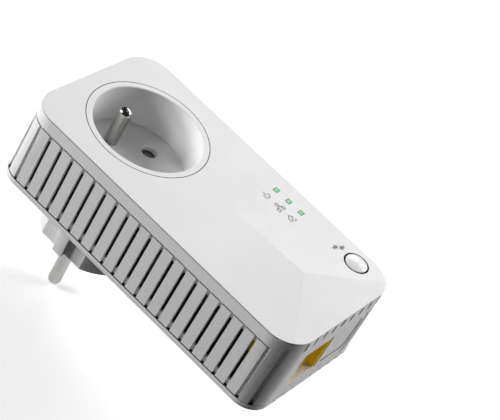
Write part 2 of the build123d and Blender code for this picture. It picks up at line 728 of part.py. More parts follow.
with BuildPart() as rating_label:
    with BuildSketch(Plane.XY.offset(BACK_Z)):
        with Locations((0, LABEL_Y)):
            RectangleRounded(LABEL_WIDTH, LABEL_LENGTH, LABEL_CORNER)
    extrude(amount=LABEL_THICKNESS)
rating_label.part.label = "rating_label"
export_step(rating_label.part, "parts/rating_label.step")

# ================================================================ port panel
# The plate set into the port end: the network port's opening, and a shallow field beside
# it where a second port would go.
panel_front_y = NEAR_Y + PANEL_INSET
panel_back_y = panel_front_y + PANEL_WALL
blank_x = (BLANK_LOW_X + BLANK_HIGH_X) / 2
blank_z = (BLANK_LOW_Z + BLANK_HIGH_Z) / 2
with BuildPart() as port_panel:
    with BuildSketch(Plane((0, panel_front_y, panel_middle_z), x_dir=(1, 0, 0), z_dir=(0, -1, 0))):
        RectangleRounded(2 * PANEL_HALF_X, panel_height, PANEL_CORNER)
    extrude(amount=-PANEL_WALL)
    with BuildSketch(Plane((0, panel_back_y, panel_middle_z), x_dir=(1, 0, 0), z_dir=(0, -1, 0))):
        RectangleRounded(
            2 * (PANEL_HALF_X + PANEL_FLANGE_REACH), panel_height + 2 * PANEL_FLANGE_REACH, PANEL_CORNER
        )
    extrude(amount=-PANEL_FLANGE)
    block(
        (PORT_LOW_X, panel_front_y - MARGIN, PORT_LOW_Z),
        (PORT_HIGH_X, panel_back_y + 2 * MARGIN, PORT_HIGH_Z),
        mode=Mode.SUBTRACT,
    )
    with BuildSketch(Plane((blank_x, panel_front_y, blank_z), x_dir=(1, 0, 0), z_dir=(0, -1, 0))):
        RectangleRounded(BLANK_HIGH_X - BLANK_LOW_X, BLANK_HIGH_Z - BLANK_LOW_Z, BLANK_CORNER)
    extrude(amount=-BLANK_DEPTH, mode=Mode.SUBTRACT)
port_panel.part.label = "port_panel"
export_step(port_panel.part, "parts/port_panel.step")

# ================================================================ socket
# The well that takes a plug, its earth pin, the safety shutter under the floor and the
# carrier that holds the shutter and the contact sleeves.
with BuildPart() as socket_well:
    with BuildSketch(Plane.XZ):
        with BuildLine():
            Polyline(
                (0, WELL_BASE_Z),
                (WELL_OUTER_RADIUS, WELL_BASE_Z),
                (WELL_OUTER_RADIUS, INNER_TOP_Z - WELL_FLANGE_HEIGHT),
                (WELL_FLANGE_RADIUS, INNER_TOP_Z - WELL_FLANGE_HEIGHT),
                (WELL_FLANGE_RADIUS, INNER_TOP_Z),
                (WELL_RING_RADIUS, INNER_TOP_Z),
                (WELL_RING_RADIUS, FRONT_Z),
                (WELL_MOUTH_RADIUS, FRONT_Z),
                (WELL_FLOOR_RADIUS, WELL_FLOOR_Z),
                (0, WELL_FLOOR_Z),
                close=True,
            )
        make_face()
    revolve(axis=Axis.Z)
    top_circles = socket_well.edges().filter_by(GeomType.CIRCLE).group_by(Axis.Z)[-1]
    mouth_edge = top_circles.sort_by(SortBy.RADIUS)[0]
    fillet(mouth_edge, WELL_MOUTH_EDGE)
    for x in (-PIN_X, PIN_X):
        cylinder(x, 0, WELL_BASE_Z, WELL_FLOOR_Z, PIN_HOLE_RADIUS, mode=Mode.SUBTRACT)
        with Locations((x, 0, WELL_FLOOR_Z - PIN_HOLE_EDGE / 2)):
            Cone(PIN_HOLE_RADIUS, PIN_HOLE_RADIUS + PIN_HOLE_EDGE, PIN_HOLE_EDGE, mode=Mode.SUBTRACT)
    cylinder(0, EARTH_Y, WELL_BASE_Z, WELL_FLOOR_Z, EARTH_TAIL_RADIUS + TIGHT_SEAM, mode=Mode.SUBTRACT)
socket_well.part.label = "socket_well"
export_step(socket_well.part, "parts/socket_well.step")

EARTH_PIN_TOP_Z = WELL_FLOOR_Z + EARTH_PIN_RISE
with BuildPart() as socket_earth_pin:
    cylinder(0, EARTH_Y, EARTH_BRIDGE_Z, WELL_FLOOR_Z, EARTH_TAIL_RADIUS)
    cylinder(0, EARTH_Y, WELL_BASE_Z - EARTH_PIN_COLLAR, WELL_BASE_Z, EARTH_PIN_COLLAR_RADIUS)
    cylinder(0, EARTH_Y, WELL_FLOOR_Z, EARTH_PIN_TOP_Z - PIN_RADIUS, PIN_RADIUS)
    with Locations((0, EARTH_Y, EARTH_PIN_TOP_Z - PIN_RADIUS)):
        Sphere(PIN_RADIUS, arc_size1=0, align=(Align.CENTER, Align.CENTER, Align.MIN))
socket_earth_pin.part.label = "socket_earth_pin"
export_step(socket_earth_pin.part, "parts/socket_earth_pin.step")

SHUTTER_LOW_Z = CARRIER_TOP_Z + SHUTTER_GAP
SHUTTER_TOP_Z = SHUTTER_LOW_Z + SHUTTER_THICKNESS
with BuildPart() as socket_shutter:
    with BuildSketch(Plane.YZ):
        with BuildLine():
            Polyline(
                (-SHUTTER_WIDTH / 2, SHUTTER_LOW_Z),
                (SHUTTER_WIDTH / 2, SHUTTER_LOW_Z),
                (SHUTTER_WIDTH / 2, SHUTTER_LOW_Z + SHUTTER_RAMP_LOW),
                (SHUTTER_RAMP_FLAT - SHUTTER_WIDTH / 2, SHUTTER_TOP_Z),
                (-SHUTTER_WIDTH / 2, SHUTTER_TOP_Z),
                close=True,
            )
        make_face()
    extrude(amount=SHUTTER_LENGTH / 2, both=True)
socket_shutter.part.label = "socket_shutter"
export_step(socket_shutter.part, "parts/socket_shutter.step")

SHUTTER_MIDDLE_Z = (SHUTTER_LOW_Z + SHUTTER_TOP_Z) / 2
SPRING_LENGTH = -SHUTTER_WIDTH / 2 - CHANNEL_END_Y - SPRING_WIRE - 2 * SPRING_SEAT
spring_start = (0, CHANNEL_END_Y + SPRING_SEAT + SPRING_WIRE / 2, SHUTTER_MIDDLE_Z)
with BuildPart() as shutter_spring:
    with BuildLine() as spring_line:
        Helix(
            SPRING_LENGTH / SPRING_TURNS,
            SPRING_LENGTH,
            SPRING_RADIUS,
            center=spring_start,
            direction=(0, 1, 0),
        )
    with BuildSketch(Plane(spring_line.line @ 0, z_dir=spring_line.line % 0)):
        Circle(SPRING_WIRE / 2)
    sweep(path=spring_line.line, is_frenet=True)
shutter_spring.part.label = "shutter_spring"
export_step(shutter_spring.part, "parts/shutter_spring.step")

CARRIER_RIM_Z = WELL_BASE_Z - TIGHT_SEAM
CHANNEL_LOW_Y = -SHUTTER_WIDTH / 2 - SHUTTER_TRAVEL - CHANNEL_SIDE_GAP
with BuildPart() as contact_carrier:
    cylinder(0, 0, CARRIER_LOW_Z, CARRIER_RIM_Z, CARRIER_RADIUS)
    for x in (-CARRIER_FOOT_X, CARRIER_FOOT_X):
        for y in (-CARRIER_FOOT_Y, CARRIER_FOOT_Y):
            cylinder(x, y, FLANGE_TOP_Z, CARRIER_LOW_Z, CARRIER_FOOT_RADIUS)
    block(
        (-SHUTTER_LENGTH / 2 - CHANNEL_SIDE_GAP, CHANNEL_LOW_Y, CARRIER_TOP_Z),
        (SHUTTER_LENGTH / 2 + CHANNEL_SIDE_GAP, SHUTTER_WIDTH / 2, CARRIER_RIM_Z),
        mode=Mode.SUBTRACT,
    )
    spring_slot = SPRING_RADIUS + SPRING_WIRE
    block(
        (-spring_slot, CHANNEL_END_Y, SHUTTER_MIDDLE_Z - spring_slot),
        (spring_slot, CHANNEL_LOW_Y, CARRIER_RIM_Z),
        mode=Mode.SUBTRACT,
    )
    cylinder(
        0, EARTH_Y, WELL_BASE_Z - EARTH_PIN_COLLAR, CARRIER_RIM_Z, EARTH_PIN_COLLAR_RADIUS + TIGHT_SEAM,
        mode=Mode.SUBTRACT,
    )
    cylinder(
        0,
        EARTH_Y,
        CARRIER_LOW_Z,
        CARRIER_RIM_Z,
        EARTH_TAIL_RADIUS + TIGHT_SEAM,
        mode=Mode.SUBTRACT,
    )
    for x in (-PIN_X, PIN_X):
        cylinder(x, 0, CARRIER_LOW_Z, CARRIER_TOP_Z, CONTACT_POCKET_RADIUS, mode=Mode.SUBTRACT)
        block(
            (x - TERMINAL_WIDTH / 2 - TIGHT_SEAM, TERMINAL_RISER_Y - STRIP - TIGHT_SEAM, CARRIER_LOW_Z),
            (x + TERMINAL_WIDTH / 2 + TIGHT_SEAM, 0, SLEEVE_JOIN_TOP_Z + TIGHT_SEAM),
            mode=Mode.SUBTRACT,
        )
contact_carrier.part.label = "contact_carrier"
export_step(contact_carrier.part, "parts/contact_carrier.step")

# ================================================================ plug pins and contacts
# Each brass terminal joins a plug pin to the sleeve above it and runs an arm to the main
# board. The earth bridge joins the earth receptacle, the earth pin and both side clips.


def bent_strip(points, thickness, width, middle_x):
    """A strip bent along points given as (y, z) of one face, with its bends rounded."""
    with BuildPart() as strip:
        with BuildSketch(Plane.YZ.offset(middle_x)):
            with BuildLine():
                FilletPolyline(*points, radius=TERMINAL_BEND)
                offset(amount=thickness, side=Side.RIGHT)
            make_face()
        extrude(amount=width / 2, both=True)
    return strip.part


def terminal(middle_x):
    """The brass terminal over one plug pin: foot, riser, sleeve, and the arm to the board."""
    strip = bent_strip(
        [
            (TERMINAL_END_Y, MAIN_BOARD_TOP + STRIP),
            (TERMINAL_STEP_Y, MAIN_BOARD_TOP + STRIP),
            (TERMINAL_STEP_Y, TERMINAL_ARM_Z + STRIP),
            (TERMINAL_RISER_Y, TERMINAL_ARM_Z + STRIP),
            (TERMINAL_RISER_Y, TERMINAL_FOOT_Z + STRIP),
            (TERMINAL_FOOT_Y, TERMINAL_FOOT_Z + STRIP),
        ],
        STRIP, TERMINAL_WIDTH, middle_x,
    )
    with BuildPart() as piece:
        add(strip)
        block(
            (middle_x - TERMINAL_WIDTH / 2, TERMINAL_RISER_Y - STRIP, TERMINAL_ARM_Z),
            (middle_x + TERMINAL_WIDTH / 2, TERMINAL_RISER_Y, SLEEVE_JOIN_TOP_Z),
        )
        block(
            (middle_x - SLEEVE_JOIN_WIDTH / 2, TERMINAL_RISER_Y - STRIP, SLEEVE_LOW_Z),
            (middle_x + SLEEVE_JOIN_WIDTH / 2, -SLEEVE_INNER, SLEEVE_JOIN_TOP_Z),
        )
        cylinder(middle_x, 0, SLEEVE_LOW_Z, SLEEVE_TOP_Z, SLEEVE_OUTER)
        cylinder(middle_x, 0, SLEEVE_LOW_Z, SLEEVE_TOP_Z, SLEEVE_INNER, mode=Mode.SUBTRACT)
        for side in (-1, 1):
            block(
                (middle_x + side * SLEEVE_INNER / 2, -SLEEVE_SLIT / 2, SLEEVE_LOW_Z),
                (middle_x + side * (SLEEVE_OUTER + MARGIN), SLEEVE_SLIT / 2, SLEEVE_TOP_Z - MARGIN),
                mode=Mode.SUBTRACT,
            )
        cylinder(
            middle_x,
            0,
            TERMINAL_FOOT_Z,
            TERMINAL_FOOT_Z + STRIP,
            PLUG_PIN_TAIL_RADIUS,
            mode=Mode.SUBTRACT,
        )
    return piece.part


def plug_pin(middle_x):
    """A plug pin with a domed tip, a shoulder on the plug's face and a tail to be riveted."""
    with BuildPart() as pin:
        cylinder(middle_x, 0, PIN_RADIUS - PLUG_PIN_LENGTH, 0, PIN_RADIUS)
        cylinder(middle_x, 0, 0, TERMINAL_FOOT_Z + STRIP, PLUG_PIN_TAIL_RADIUS)
        with Locations((middle_x, 0, PIN_RADIUS - PLUG_PIN_LENGTH)):
            Sphere(PIN_RADIUS, arc_size2=0, align=(Align.CENTER, Align.CENTER, Align.MAX))
    return pin.part


for pole, x in (("live", PIN_X), ("neutral", -PIN_X)):
    pole_terminal = terminal(x)
    pole_terminal.label = f"{pole}_terminal"
    export_step(pole_terminal, f"parts/{pole}_terminal.step")
    pole_pin = plug_pin(x)
    pole_pin.label = f"{pole}_pin"
    export_step(pole_pin, f"parts/{pole}_pin.step")

with BuildPart() as earth_bridge:
    block(
        (-EARTH_BRIDGE_WIDTH / 2, -EARTH_BRIDGE_REACH, EARTH_BRIDGE_Z),
        (EARTH_BRIDGE_WIDTH / 2, EARTH_BRIDGE_REACH, EARTH_BRIDGE_Z + STRIP),
    )
    cylinder(0, EARTH_Y, EARTH_SLEEVE_LOW_Z, EARTH_BRIDGE_Z, EARTH_SLEEVE_OUTER)
    cylinder(0, EARTH_Y, EARTH_SLEEVE_LOW_Z, EARTH_BRIDGE_Z, EARTH_SLEEVE_INNER, mode=Mode.SUBTRACT)
    cylinder(0, EARTH_Y, EARTH_BRIDGE_Z, EARTH_BRIDGE_Z + STRIP, EARTH_TAIL_RADIUS, mode=Mode.SUBTRACT)
earth_bridge.part.label = "earth_bridge"
export_step(earth_bridge.part, "parts/earth_bridge.step")

clip_inner_y = BOSS_RADIUS - CLIP_SLOT_DEPTH + TIGHT_SEAM
clip_middle_z = (CLIP_LOW_Z + CLIP_TAB_Z) / 2
upper_clip = bent_strip(
    [
        (CLIP_TAB_REACH, CLIP_TAB_Z + CLIP),
        (clip_inner_y + CLIP, CLIP_TAB_Z + CLIP),
        (clip_inner_y + CLIP + CLIP_BOW, clip_middle_z),
        (clip_inner_y + CLIP, CLIP_LOW_Z),
    ],
    CLIP, CLIP_WIDTH, 0,
)
upper_clip.label = "earth_clip_upper"
export_step(upper_clip, "parts/earth_clip_upper.step")
lower_clip = upper_clip.mirror(Plane.XZ)
lower_clip.label = "earth_clip_lower"
export_step(lower_clip, "parts/earth_clip_lower.step")

# ================================================================ boards
# The main board stands on the back cover's standoffs. A small side board hangs from posts
# under the front and carries the indicators and the pairing switch.
with BuildPart() as main_board:
    block(
        (-MAIN_BOARD_HALF_X, MAIN_BOARD_NEAR_Y, MAIN_BOARD_Z),
        (MAIN_BOARD_HALF_X, MAIN_BOARD_FAR_Y, MAIN_BOARD_TOP),
    )
    for x, y in CASE_POSTS:
        cylinder(x, y, MAIN_BOARD_Z, MAIN_BOARD_TOP, BOARD_POST_CLEARANCE, mode=Mode.SUBTRACT)
    for side in (-1, 1):
        block(
            (side * CASE_POSTS[-1][0], CASE_POSTS[-1][1], MAIN_BOARD_Z),
            (side * HALF_WIDTH, NEAR_Y, MAIN_BOARD_TOP),
            mode=Mode.SUBTRACT,
        )
    for x, y in STANDOFFS:
        cylinder(
            x,
            y,
            MAIN_BOARD_Z,
            MAIN_BOARD_TOP,
            BOARD_SCREW_RADIUS + SCREW_HOLE_GAP,
            mode=Mode.SUBTRACT,
        )
main_board.part.label = "main_board"
export_step(main_board.part, "parts/main_board.step")

with BuildPart() as indicator_board:
    block(
        (SIDE_BOARD_LOW_X, SIDE_BOARD_NEAR_Y, SIDE_BOARD_Z),
        (SIDE_BOARD_HIGH_X, SIDE_BOARD_FAR_Y, SIDE_BOARD_TOP),
    )
    fillet(indicator_board.edges().filter_by(Axis.Z), CASE_EDGE)
    for x, y in SIDE_POSTS:
        cylinder(
            x,
            y,
            SIDE_BOARD_Z,
            SIDE_BOARD_TOP,
            BOARD_SCREW_RADIUS + SCREW_HOLE_GAP,
            mode=Mode.SUBTRACT,
        )
indicator_board.part.label = "indicator_board"
export_step(indicator_board.part, "parts/indicator_board.step")

# ================================================================ network port
# The jack stands on the main board behind the port panel, with a hood that fills the
# panel's opening on three sides.
jack_low_x = PORT_X - JACK_WIDTH / 2
jack_high_x = PORT_X + JACK_WIDTH / 2
jack_top_z = JACK_LOW_Z + JACK_HEIGHT
hood_low_z = PORT_LOW_Z + PANEL_GAP
cavity_top_z = PLUG_CAVITY_LOW_Z + PLUG_CAVITY_HEIGHT
with BuildPart() as rj45_jack:
    block((jack_low_x, JACK_FACE_Y, JACK_LOW_Z), (jack_high_x, JACK_FACE_Y + JACK_DEPTH, jack_top_z))
    block((jack_low_x, HOOD_FRONT_Y, hood_low_z), (jack_high_x, JACK_FACE_Y, jack_top_z))
    block(
        (jack_low_x + HOOD_WALL, HOOD_FRONT_Y, hood_low_z),
        (jack_high_x - HOOD_WALL, JACK_FACE_Y, jack_top_z - HOOD_WALL),
        mode=Mode.SUBTRACT,
    )
    for width, low, high in (
        (PLUG_CAVITY_WIDTH, PLUG_CAVITY_LOW_Z, cavity_top_z),
        (LATCH_WIDTH, PLUG_CAVITY_LOW_Z - LATCH_HEIGHT, PLUG_CAVITY_LOW_Z),
        (LATCH_NOSE_WIDTH, PLUG_CAVITY_LOW_Z - LATCH_HEIGHT - LATCH_NOSE_HEIGHT, PLUG_CAVITY_LOW_Z),
    ):
        block(
            (PORT_X - width / 2, JACK_FACE_Y, low),
            (PORT_X + width / 2, JACK_FACE_Y + PLUG_CAVITY_DEPTH, high),
            mode=Mode.SUBTRACT,
        )
rj45_jack.part.label = "rj45_jack"
export_step(rj45_jack.part, "parts/rj45_jack.step")

with BuildPart() as rj45_contacts:
    for i in range(JACK_WIRES):
        wire_x = PORT_X + (i - (JACK_WIRES - 1) / 2) * JACK_WIRE_PITCH
        with BuildSketch(Plane.YZ.offset(wire_x)):
            with BuildLine():
                Polyline(
                    (JACK_FACE_Y + JACK_WIRE_FRONT, cavity_top_z - JACK_WIRE),
                    (JACK_FACE_Y + JACK_WIRE_FRONT, cavity_top_z),
                    (JACK_FACE_Y + JACK_WIRE_FRONT + 2 * JACK_WIRE, cavity_top_z),
                    (JACK_FACE_Y + JACK_WIRE_REACH, cavity_top_z - JACK_WIRE_DROP),
                    (JACK_FACE_Y + JACK_WIRE_REACH, cavity_top_z - JACK_WIRE_DROP - JACK_WIRE),
                    close=True,
                )
            make_face()
        extrude(amount=JACK_WIRE / 2, both=True)
rj45_contacts.part.label = "rj45_contacts"
export_step(rj45_contacts.part, "parts/rj45_contacts.step")

# ================================================================ power electronics
window_low_z = CORE_LOW_Z + CORE_YOKE
window_top_z = CORE_TOP_Z - CORE_YOKE
window_reach = CORE_WIDTH / 2 - CORE_SIDE_LEG
with BuildPart() as transformer_core:
    block(
        (CORE_X - CORE_WIDTH / 2, CORE_Y - CORE_DEPTH / 2, CORE_LOW_Z),
        (CORE_X + CORE_WIDTH / 2, CORE_Y + CORE_DEPTH / 2, CORE_TOP_Z),
    )
    for side in (-1, 1):
        block(
            (CORE_X + side * CORE_LEG / 2, CORE_Y - CORE_DEPTH / 2, window_low_z),
            (CORE_X + side * window_reach, CORE_Y + CORE_DEPTH / 2, window_top_z),
            mode=Mode.SUBTRACT,
        )
transformer_core.part.label = "transformer_core"
export_step(transformer_core.part, "parts/transformer_core.step")

flange_half_x = window_reach - BOBBIN_GAP
tube_half_x = CORE_LEG / 2 + BOBBIN_GAP + BOBBIN_WALL
tube_half_y = CORE_DEPTH / 2 + BOBBIN_GAP + BOBBIN_WALL
flange_low_z = window_low_z + BOBBIN_GAP
flange_high_z = window_top_z - BOBBIN_GAP
with BuildPart() as transformer_bobbin:
    block(
        (CORE_X - flange_half_x, CORE_Y - BOBBIN_LENGTH / 2, flange_low_z),
        (CORE_X + flange_half_x, CORE_Y + BOBBIN_LENGTH / 2, flange_low_z + BOBBIN_FLANGE),
    )
    block(
        (CORE_X - flange_half_x, CORE_Y - BOBBIN_TOP_LENGTH / 2, flange_high_z - BOBBIN_FLANGE),
        (CORE_X + flange_half_x, CORE_Y + BOBBIN_TOP_LENGTH / 2, flange_high_z),
    )
    block(
        (CORE_X - tube_half_x, CORE_Y - tube_half_y, flange_low_z),
        (CORE_X + tube_half_x, CORE_Y + tube_half_y, flange_high_z),
    )
    for side in (-1, 1):
        block(
            (CORE_X - flange_half_x, CORE_Y + side * (BOBBIN_LENGTH / 2 - BOBBIN_RAIL), MAIN_BOARD_TOP),
            (CORE_X + flange_half_x, CORE_Y + side * BOBBIN_LENGTH / 2, flange_low_z),
        )
    block(
        (CORE_X - CORE_LEG / 2 - BOBBIN_GAP, CORE_Y - CORE_DEPTH / 2 - BOBBIN_GAP, window_low_z),
        (CORE_X + CORE_LEG / 2 + BOBBIN_GAP, CORE_Y + CORE_DEPTH / 2 + BOBBIN_GAP, window_top_z),
        mode=Mode.SUBTRACT,
    )
transformer_bobbin.part.label = "transformer_bobbin"
export_step(transformer_bobbin.part, "parts/transformer_bobbin.step")

with BuildPart() as transformer_winding:
    with BuildSketch(Plane.XY.offset(flange_low_z + BOBBIN_FLANGE)):
        with Locations((CORE_X, CORE_Y)):
            RectangleRounded(
                2 * (tube_half_x + WINDING_WALL),
                2 * (tube_half_y + WINDING_WALL),
                WINDING_WALL,
            )
            Rectangle(2 * tube_half_x, 2 * tube_half_y, mode=Mode.SUBTRACT)
    extrude(amount=flange_high_z - flange_low_z - 2 * BOBBIN_FLANGE)
transformer_winding.part.label = "transformer_winding"
export_step(transformer_winding.part, "parts/transformer_winding.step")

with BuildPart() as bulk_capacitors:
    for x, y in BULK_CAPACITORS:
        cylinder(x, y, MAIN_BOARD_TOP, MAIN_BOARD_TOP + BULK_HEIGHT, BULK_RADIUS)
    fillet(bulk_capacitors.edges().group_by(Axis.Z)[-1], BULK_EDGE)
    for x, y in BULK_CAPACITORS:
        with Locations((x, y, MAIN_BOARD_TOP + BULK_HEIGHT - BULK_WAIST_Z)):
            Torus(BULK_RADIUS + BULK_WAIST / 2, BULK_WAIST, mode=Mode.SUBTRACT)
bulk_capacitors.part.label = "bulk_capacitors"
export_step(bulk_capacitors.part, "parts/bulk_capacitors.step")

choke_low_z = MAIN_BOARD_TOP + CHOKE_WIRE
choke_top_z = choke_low_z + CHOKE_HEIGHT
with BuildPart() as choke_core:
    cylinder(CHOKE_X, CHOKE_Y, choke_low_z, choke_top_z, CHOKE_OUTER)
    cylinder(CHOKE_X, CHOKE_Y, choke_low_z, choke_top_z, CHOKE_INNER, mode=Mode.SUBTRACT)
choke_core.part.label = "choke_core"
export_step(choke_core.part, "parts/choke_core.step")

with BuildPart() as choke_windings:
    cylinder(CHOKE_X, CHOKE_Y, MAIN_BOARD_TOP, choke_top_z + CHOKE_WIRE, CHOKE_OUTER + CHOKE_WIRE)
    cylinder(
        CHOKE_X,
        CHOKE_Y,
        MAIN_BOARD_TOP,
        choke_top_z + CHOKE_WIRE,
        CHOKE_INNER - CHOKE_WIRE,
        mode=Mode.SUBTRACT,
    )
    add(choke_core.part, mode=Mode.SUBTRACT)
    block(
        (CHOKE_X - CHOKE_GAP_WIDTH / 2, CHOKE_Y - 2 * CHOKE_OUTER, MAIN_BOARD_TOP),
        (CHOKE_X + CHOKE_GAP_WIDTH / 2, CHOKE_Y + 2 * CHOKE_OUTER, choke_top_z + CHOKE_WIRE),
        mode=Mode.SUBTRACT,
    )
choke_windings.part.label = "choke_windings"
export_step(choke_windings.part, "parts/choke_windings.step")

FUSE_Z = MAIN_BOARD_TOP + FUSE_CAP_RADIUS
with BuildPart() as fuse:
    with Locations(Location((FUSE_X, FUSE_Y, FUSE_Z), (90, 0, 0))):
        Cylinder(FUSE_RADIUS, FUSE_LENGTH)
    for side in (-1, 1):
        cap_y = FUSE_Y + side * (FUSE_LENGTH - FUSE_CAP) / 2
        with Locations(Location((FUSE_X, cap_y, FUSE_Z), (90, 0, 0))):
            Cylinder(FUSE_CAP_RADIUS, FUSE_CAP)
fuse.part.label = "fuse"
export_step(fuse.part, "parts/fuse.step")

varistor_z = MAIN_BOARD_TOP + VARISTOR_LEG + VARISTOR_RADIUS
with BuildPart() as varistor:
    with Locations(Location((VARISTOR_X, VARISTOR_Y, varistor_z), (90, 0, 0))):
        Cylinder(VARISTOR_RADIUS, VARISTOR_THICKNESS)
    fillet(varistor.edges(), VARISTOR_LEG)
    for side in (-1, 1):
        cylinder(
            VARISTOR_X + side * VARISTOR_RADIUS / 2,
            VARISTOR_Y,
            MAIN_BOARD_TOP,
            varistor_z,
            VARISTOR_LEG / 2,
        )
varistor.part.label = "varistor"
export_step(varistor.part, "parts/varistor.step")

# ================================================================ signal electronics


def component(name, low, high, height):
    """A boxed component standing on the main board, with softened top edges."""
    with BuildPart() as piece:
        block((*low, MAIN_BOARD_TOP), (*high, MAIN_BOARD_TOP + height))
        chamfer(piece.edges().group_by(Axis.Z)[-1], height * COMPONENT_EDGE_SHARE)
    piece.part.label = name
    export_step(piece.part, f"parts/{name}.step")


chip_low = (CHIP_X - CHIP_SIZE / 2, CHIP_Y - CHIP_SIZE / 2)
chip_high = (CHIP_X + CHIP_SIZE / 2, CHIP_Y + CHIP_SIZE / 2)
for name, low, high, height in (
    ("suppressor_capacitor", SUPPRESSOR_LOW, SUPPRESSOR_HIGH, SUPPRESSOR_HEIGHT),
    ("coupling_transformer", COUPLER_LOW, COUPLER_HIGH, COUPLER_HEIGHT),
    ("modem_chip", chip_low, chip_high, CHIP_HEIGHT),
    ("memory_chip", MEMORY_LOW, MEMORY_HIGH, MEMORY_HEIGHT),
    ("lan_magnetics", MAGNETICS_LOW, MAGNETICS_HIGH, MAGNETICS_HEIGHT),
    ("board_header", HEADER_LOW, HEADER_HIGH, HEADER_TOP_Z - MAIN_BOARD_TOP),
):
    component(name, low, high, height)

sink_low_z = MAIN_BOARD_TOP + CHIP_HEIGHT
sink_top_z = sink_low_z + SINK_HEIGHT
fin_pitch = (SINK_SIZE - SINK_FIN) / (SINK_FINS - 1)
with BuildPart() as heat_sink:
    block(
        (CHIP_X - SINK_SIZE / 2, CHIP_Y - SINK_SIZE / 2, sink_low_z),
        (CHIP_X + SINK_SIZE / 2, CHIP_Y + SINK_SIZE / 2, sink_low_z + SINK_BASE),
    )
    for i in range(SINK_FINS):
        fin_x = CHIP_X - SINK_SIZE / 2 + i * fin_pitch
        block(
            (fin_x, CHIP_Y - SINK_SIZE / 2, sink_low_z),
            (fin_x + SINK_FIN, CHIP_Y + SINK_SIZE / 2, sink_top_z),
        )
heat_sink.part.label = "heat_sink"
export_step(heat_sink.part, "parts/heat_sink.step")

header_x = (HEADER_LOW[0] + HEADER_HIGH[0]) / 2
header_y = (HEADER_LOW[1] + HEADER_HIGH[1]) / 2
with BuildPart() as header_pins:
    with BuildSketch(Plane((header_x, header_y, HEADER_TOP_Z))):
        with GridLocations(HEADER_PITCH, HEADER_PITCH, HEADER_COLUMNS, HEADER_ROWS):
            Rectangle(HEADER_PIN, HEADER_PIN)
    extrude(amount=SIDE_BOARD_Z - HEADER_TOP_Z)
header_pins.part.label = "header_pins"
export_step(header_pins.part, "parts/header_pins.step")

# ================================================================ indicators and pairing button
with BuildPart() as leds:
    for y in LED_Y:
        block(
            (LED_X - LED_X_SIZE / 2, y - LED_Y_SIZE / 2, SIDE_BOARD_TOP),
            (LED_X + LED_X_SIZE / 2, y + LED_Y_SIZE / 2, SIDE_BOARD_TOP + LED_HEIGHT),
        )
leds.part.label = "leds"
export_step(leds.part, "parts/leds.step")

with BuildPart() as light_pipe:
    block(
        (LED_X - PIPE_BAR_WIDTH / 2, LED_Y[-1] - WINDOW_Y, PIPE_BAR_LOW_Z),
        (LED_X + PIPE_BAR_WIDTH / 2, LED_Y[0] + WINDOW_Y, INNER_TOP_Z),
    )
    for y in LED_Y:
        block(
            (LED_X - WINDOW_X / 2, y - WINDOW_Y / 2, PIPE_LOW_Z),
            (LED_X + WINDOW_X / 2, y + WINDOW_Y / 2, front_height(LED_X, y) + PIPE_PROUD),
        )
light_pipe.part.label = "light_pipe"
export_step(light_pipe.part, "parts/light_pipe.step")

SWITCH_TOP_Z = SIDE_BOARD_TOP + SWITCH_HEIGHT
PLUNGER_TOP_Z = SWITCH_TOP_Z + PLUNGER_RISE
PLUNGER_LOW_Z = SWITCH_TOP_Z - PLUNGER_SINK
with BuildPart() as switch_body:
    block(
        (BUTTON_X - SWITCH_SIZE / 2, BUTTON_Y - SWITCH_SIZE / 2, SIDE_BOARD_TOP),
        (BUTTON_X + SWITCH_SIZE / 2, BUTTON_Y + SWITCH_SIZE / 2, SWITCH_TOP_Z),
    )
    chamfer(switch_body.edges().group_by(Axis.Z)[-1], SWITCH_EDGE)
    cylinder(
        BUTTON_X,
        BUTTON_Y,
        PLUNGER_LOW_Z - 2 * BUTTON_TRAVEL,
        SWITCH_TOP_Z,
        PLUNGER_RADIUS + PLUNGER_GAP,
        mode=Mode.SUBTRACT,
    )
switch_body.part.label = "switch_body"
export_step(switch_body.part, "parts/switch_body.step")

with BuildPart() as switch_plunger:
    cylinder(BUTTON_X, BUTTON_Y, PLUNGER_LOW_Z, PLUNGER_TOP_Z, PLUNGER_RADIUS)
switch_plunger.part.label = "switch_plunger"
export_step(switch_plunger.part, "parts/switch_plunger.step")

dome_radius = (BUTTON_RADIUS**2 + BUTTON_DOME**2) / (2 * BUTTON_DOME)
with BuildPart() as pair_button:
    with BuildSketch(Plane((BUTTON_X, BUTTON_Y, 0), x_dir=(1, 0, 0), z_dir=(0, -1, 0))):
        with BuildLine():
            Polyline(
                (0, BUTTON_EDGE_Z + BUTTON_DOME),
                (0, BUTTON_LOW_Z),
                (BUTTON_RADIUS, BUTTON_LOW_Z),
                (BUTTON_RADIUS, BUTTON_EDGE_Z),
            )
            RadiusArc((BUTTON_RADIUS, BUTTON_EDGE_Z), (0, BUTTON_EDGE_Z + BUTTON_DOME), -dome_radius)
        make_face()
    revolve(axis=Axis((BUTTON_X, BUTTON_Y, 0), (0, 0, 1)))
    fillet(pair_button.edges().filter_by_position(Axis.Z, BUTTON_EDGE_Z, BUTTON_EDGE_Z), BUTTON_EDGE)
    block(
        (BUTTON_X - BUTTON_TAB_REACH, BUTTON_Y - BUTTON_TAB_WIDTH / 2, BUTTON_LOW_Z),
        (BUTTON_X, BUTTON_Y + BUTTON_TAB_WIDTH / 2, BUTTON_LOW_Z + BUTTON_FLANGE),
    )
    block(
        (BUTTON_X - BUTTON_TAB_WIDTH / 2, BUTTON_Y, BUTTON_LOW_Z),
        (BUTTON_X + BUTTON_TAB_WIDTH / 2, BUTTON_Y + BUTTON_TAB_REACH, BUTTON_LOW_Z + BUTTON_FLANGE),
    )
    cylinder(BUTTON_X, BUTTON_Y, PLUNGER_TOP_Z + STEM_GAP, BUTTON_LOW_Z, BUTTON_STEM_RADIUS)
pair_button.part.label = "pair_button"
export_step(pair_button.part, "parts/pair_button.step")

# ================================================================ screws


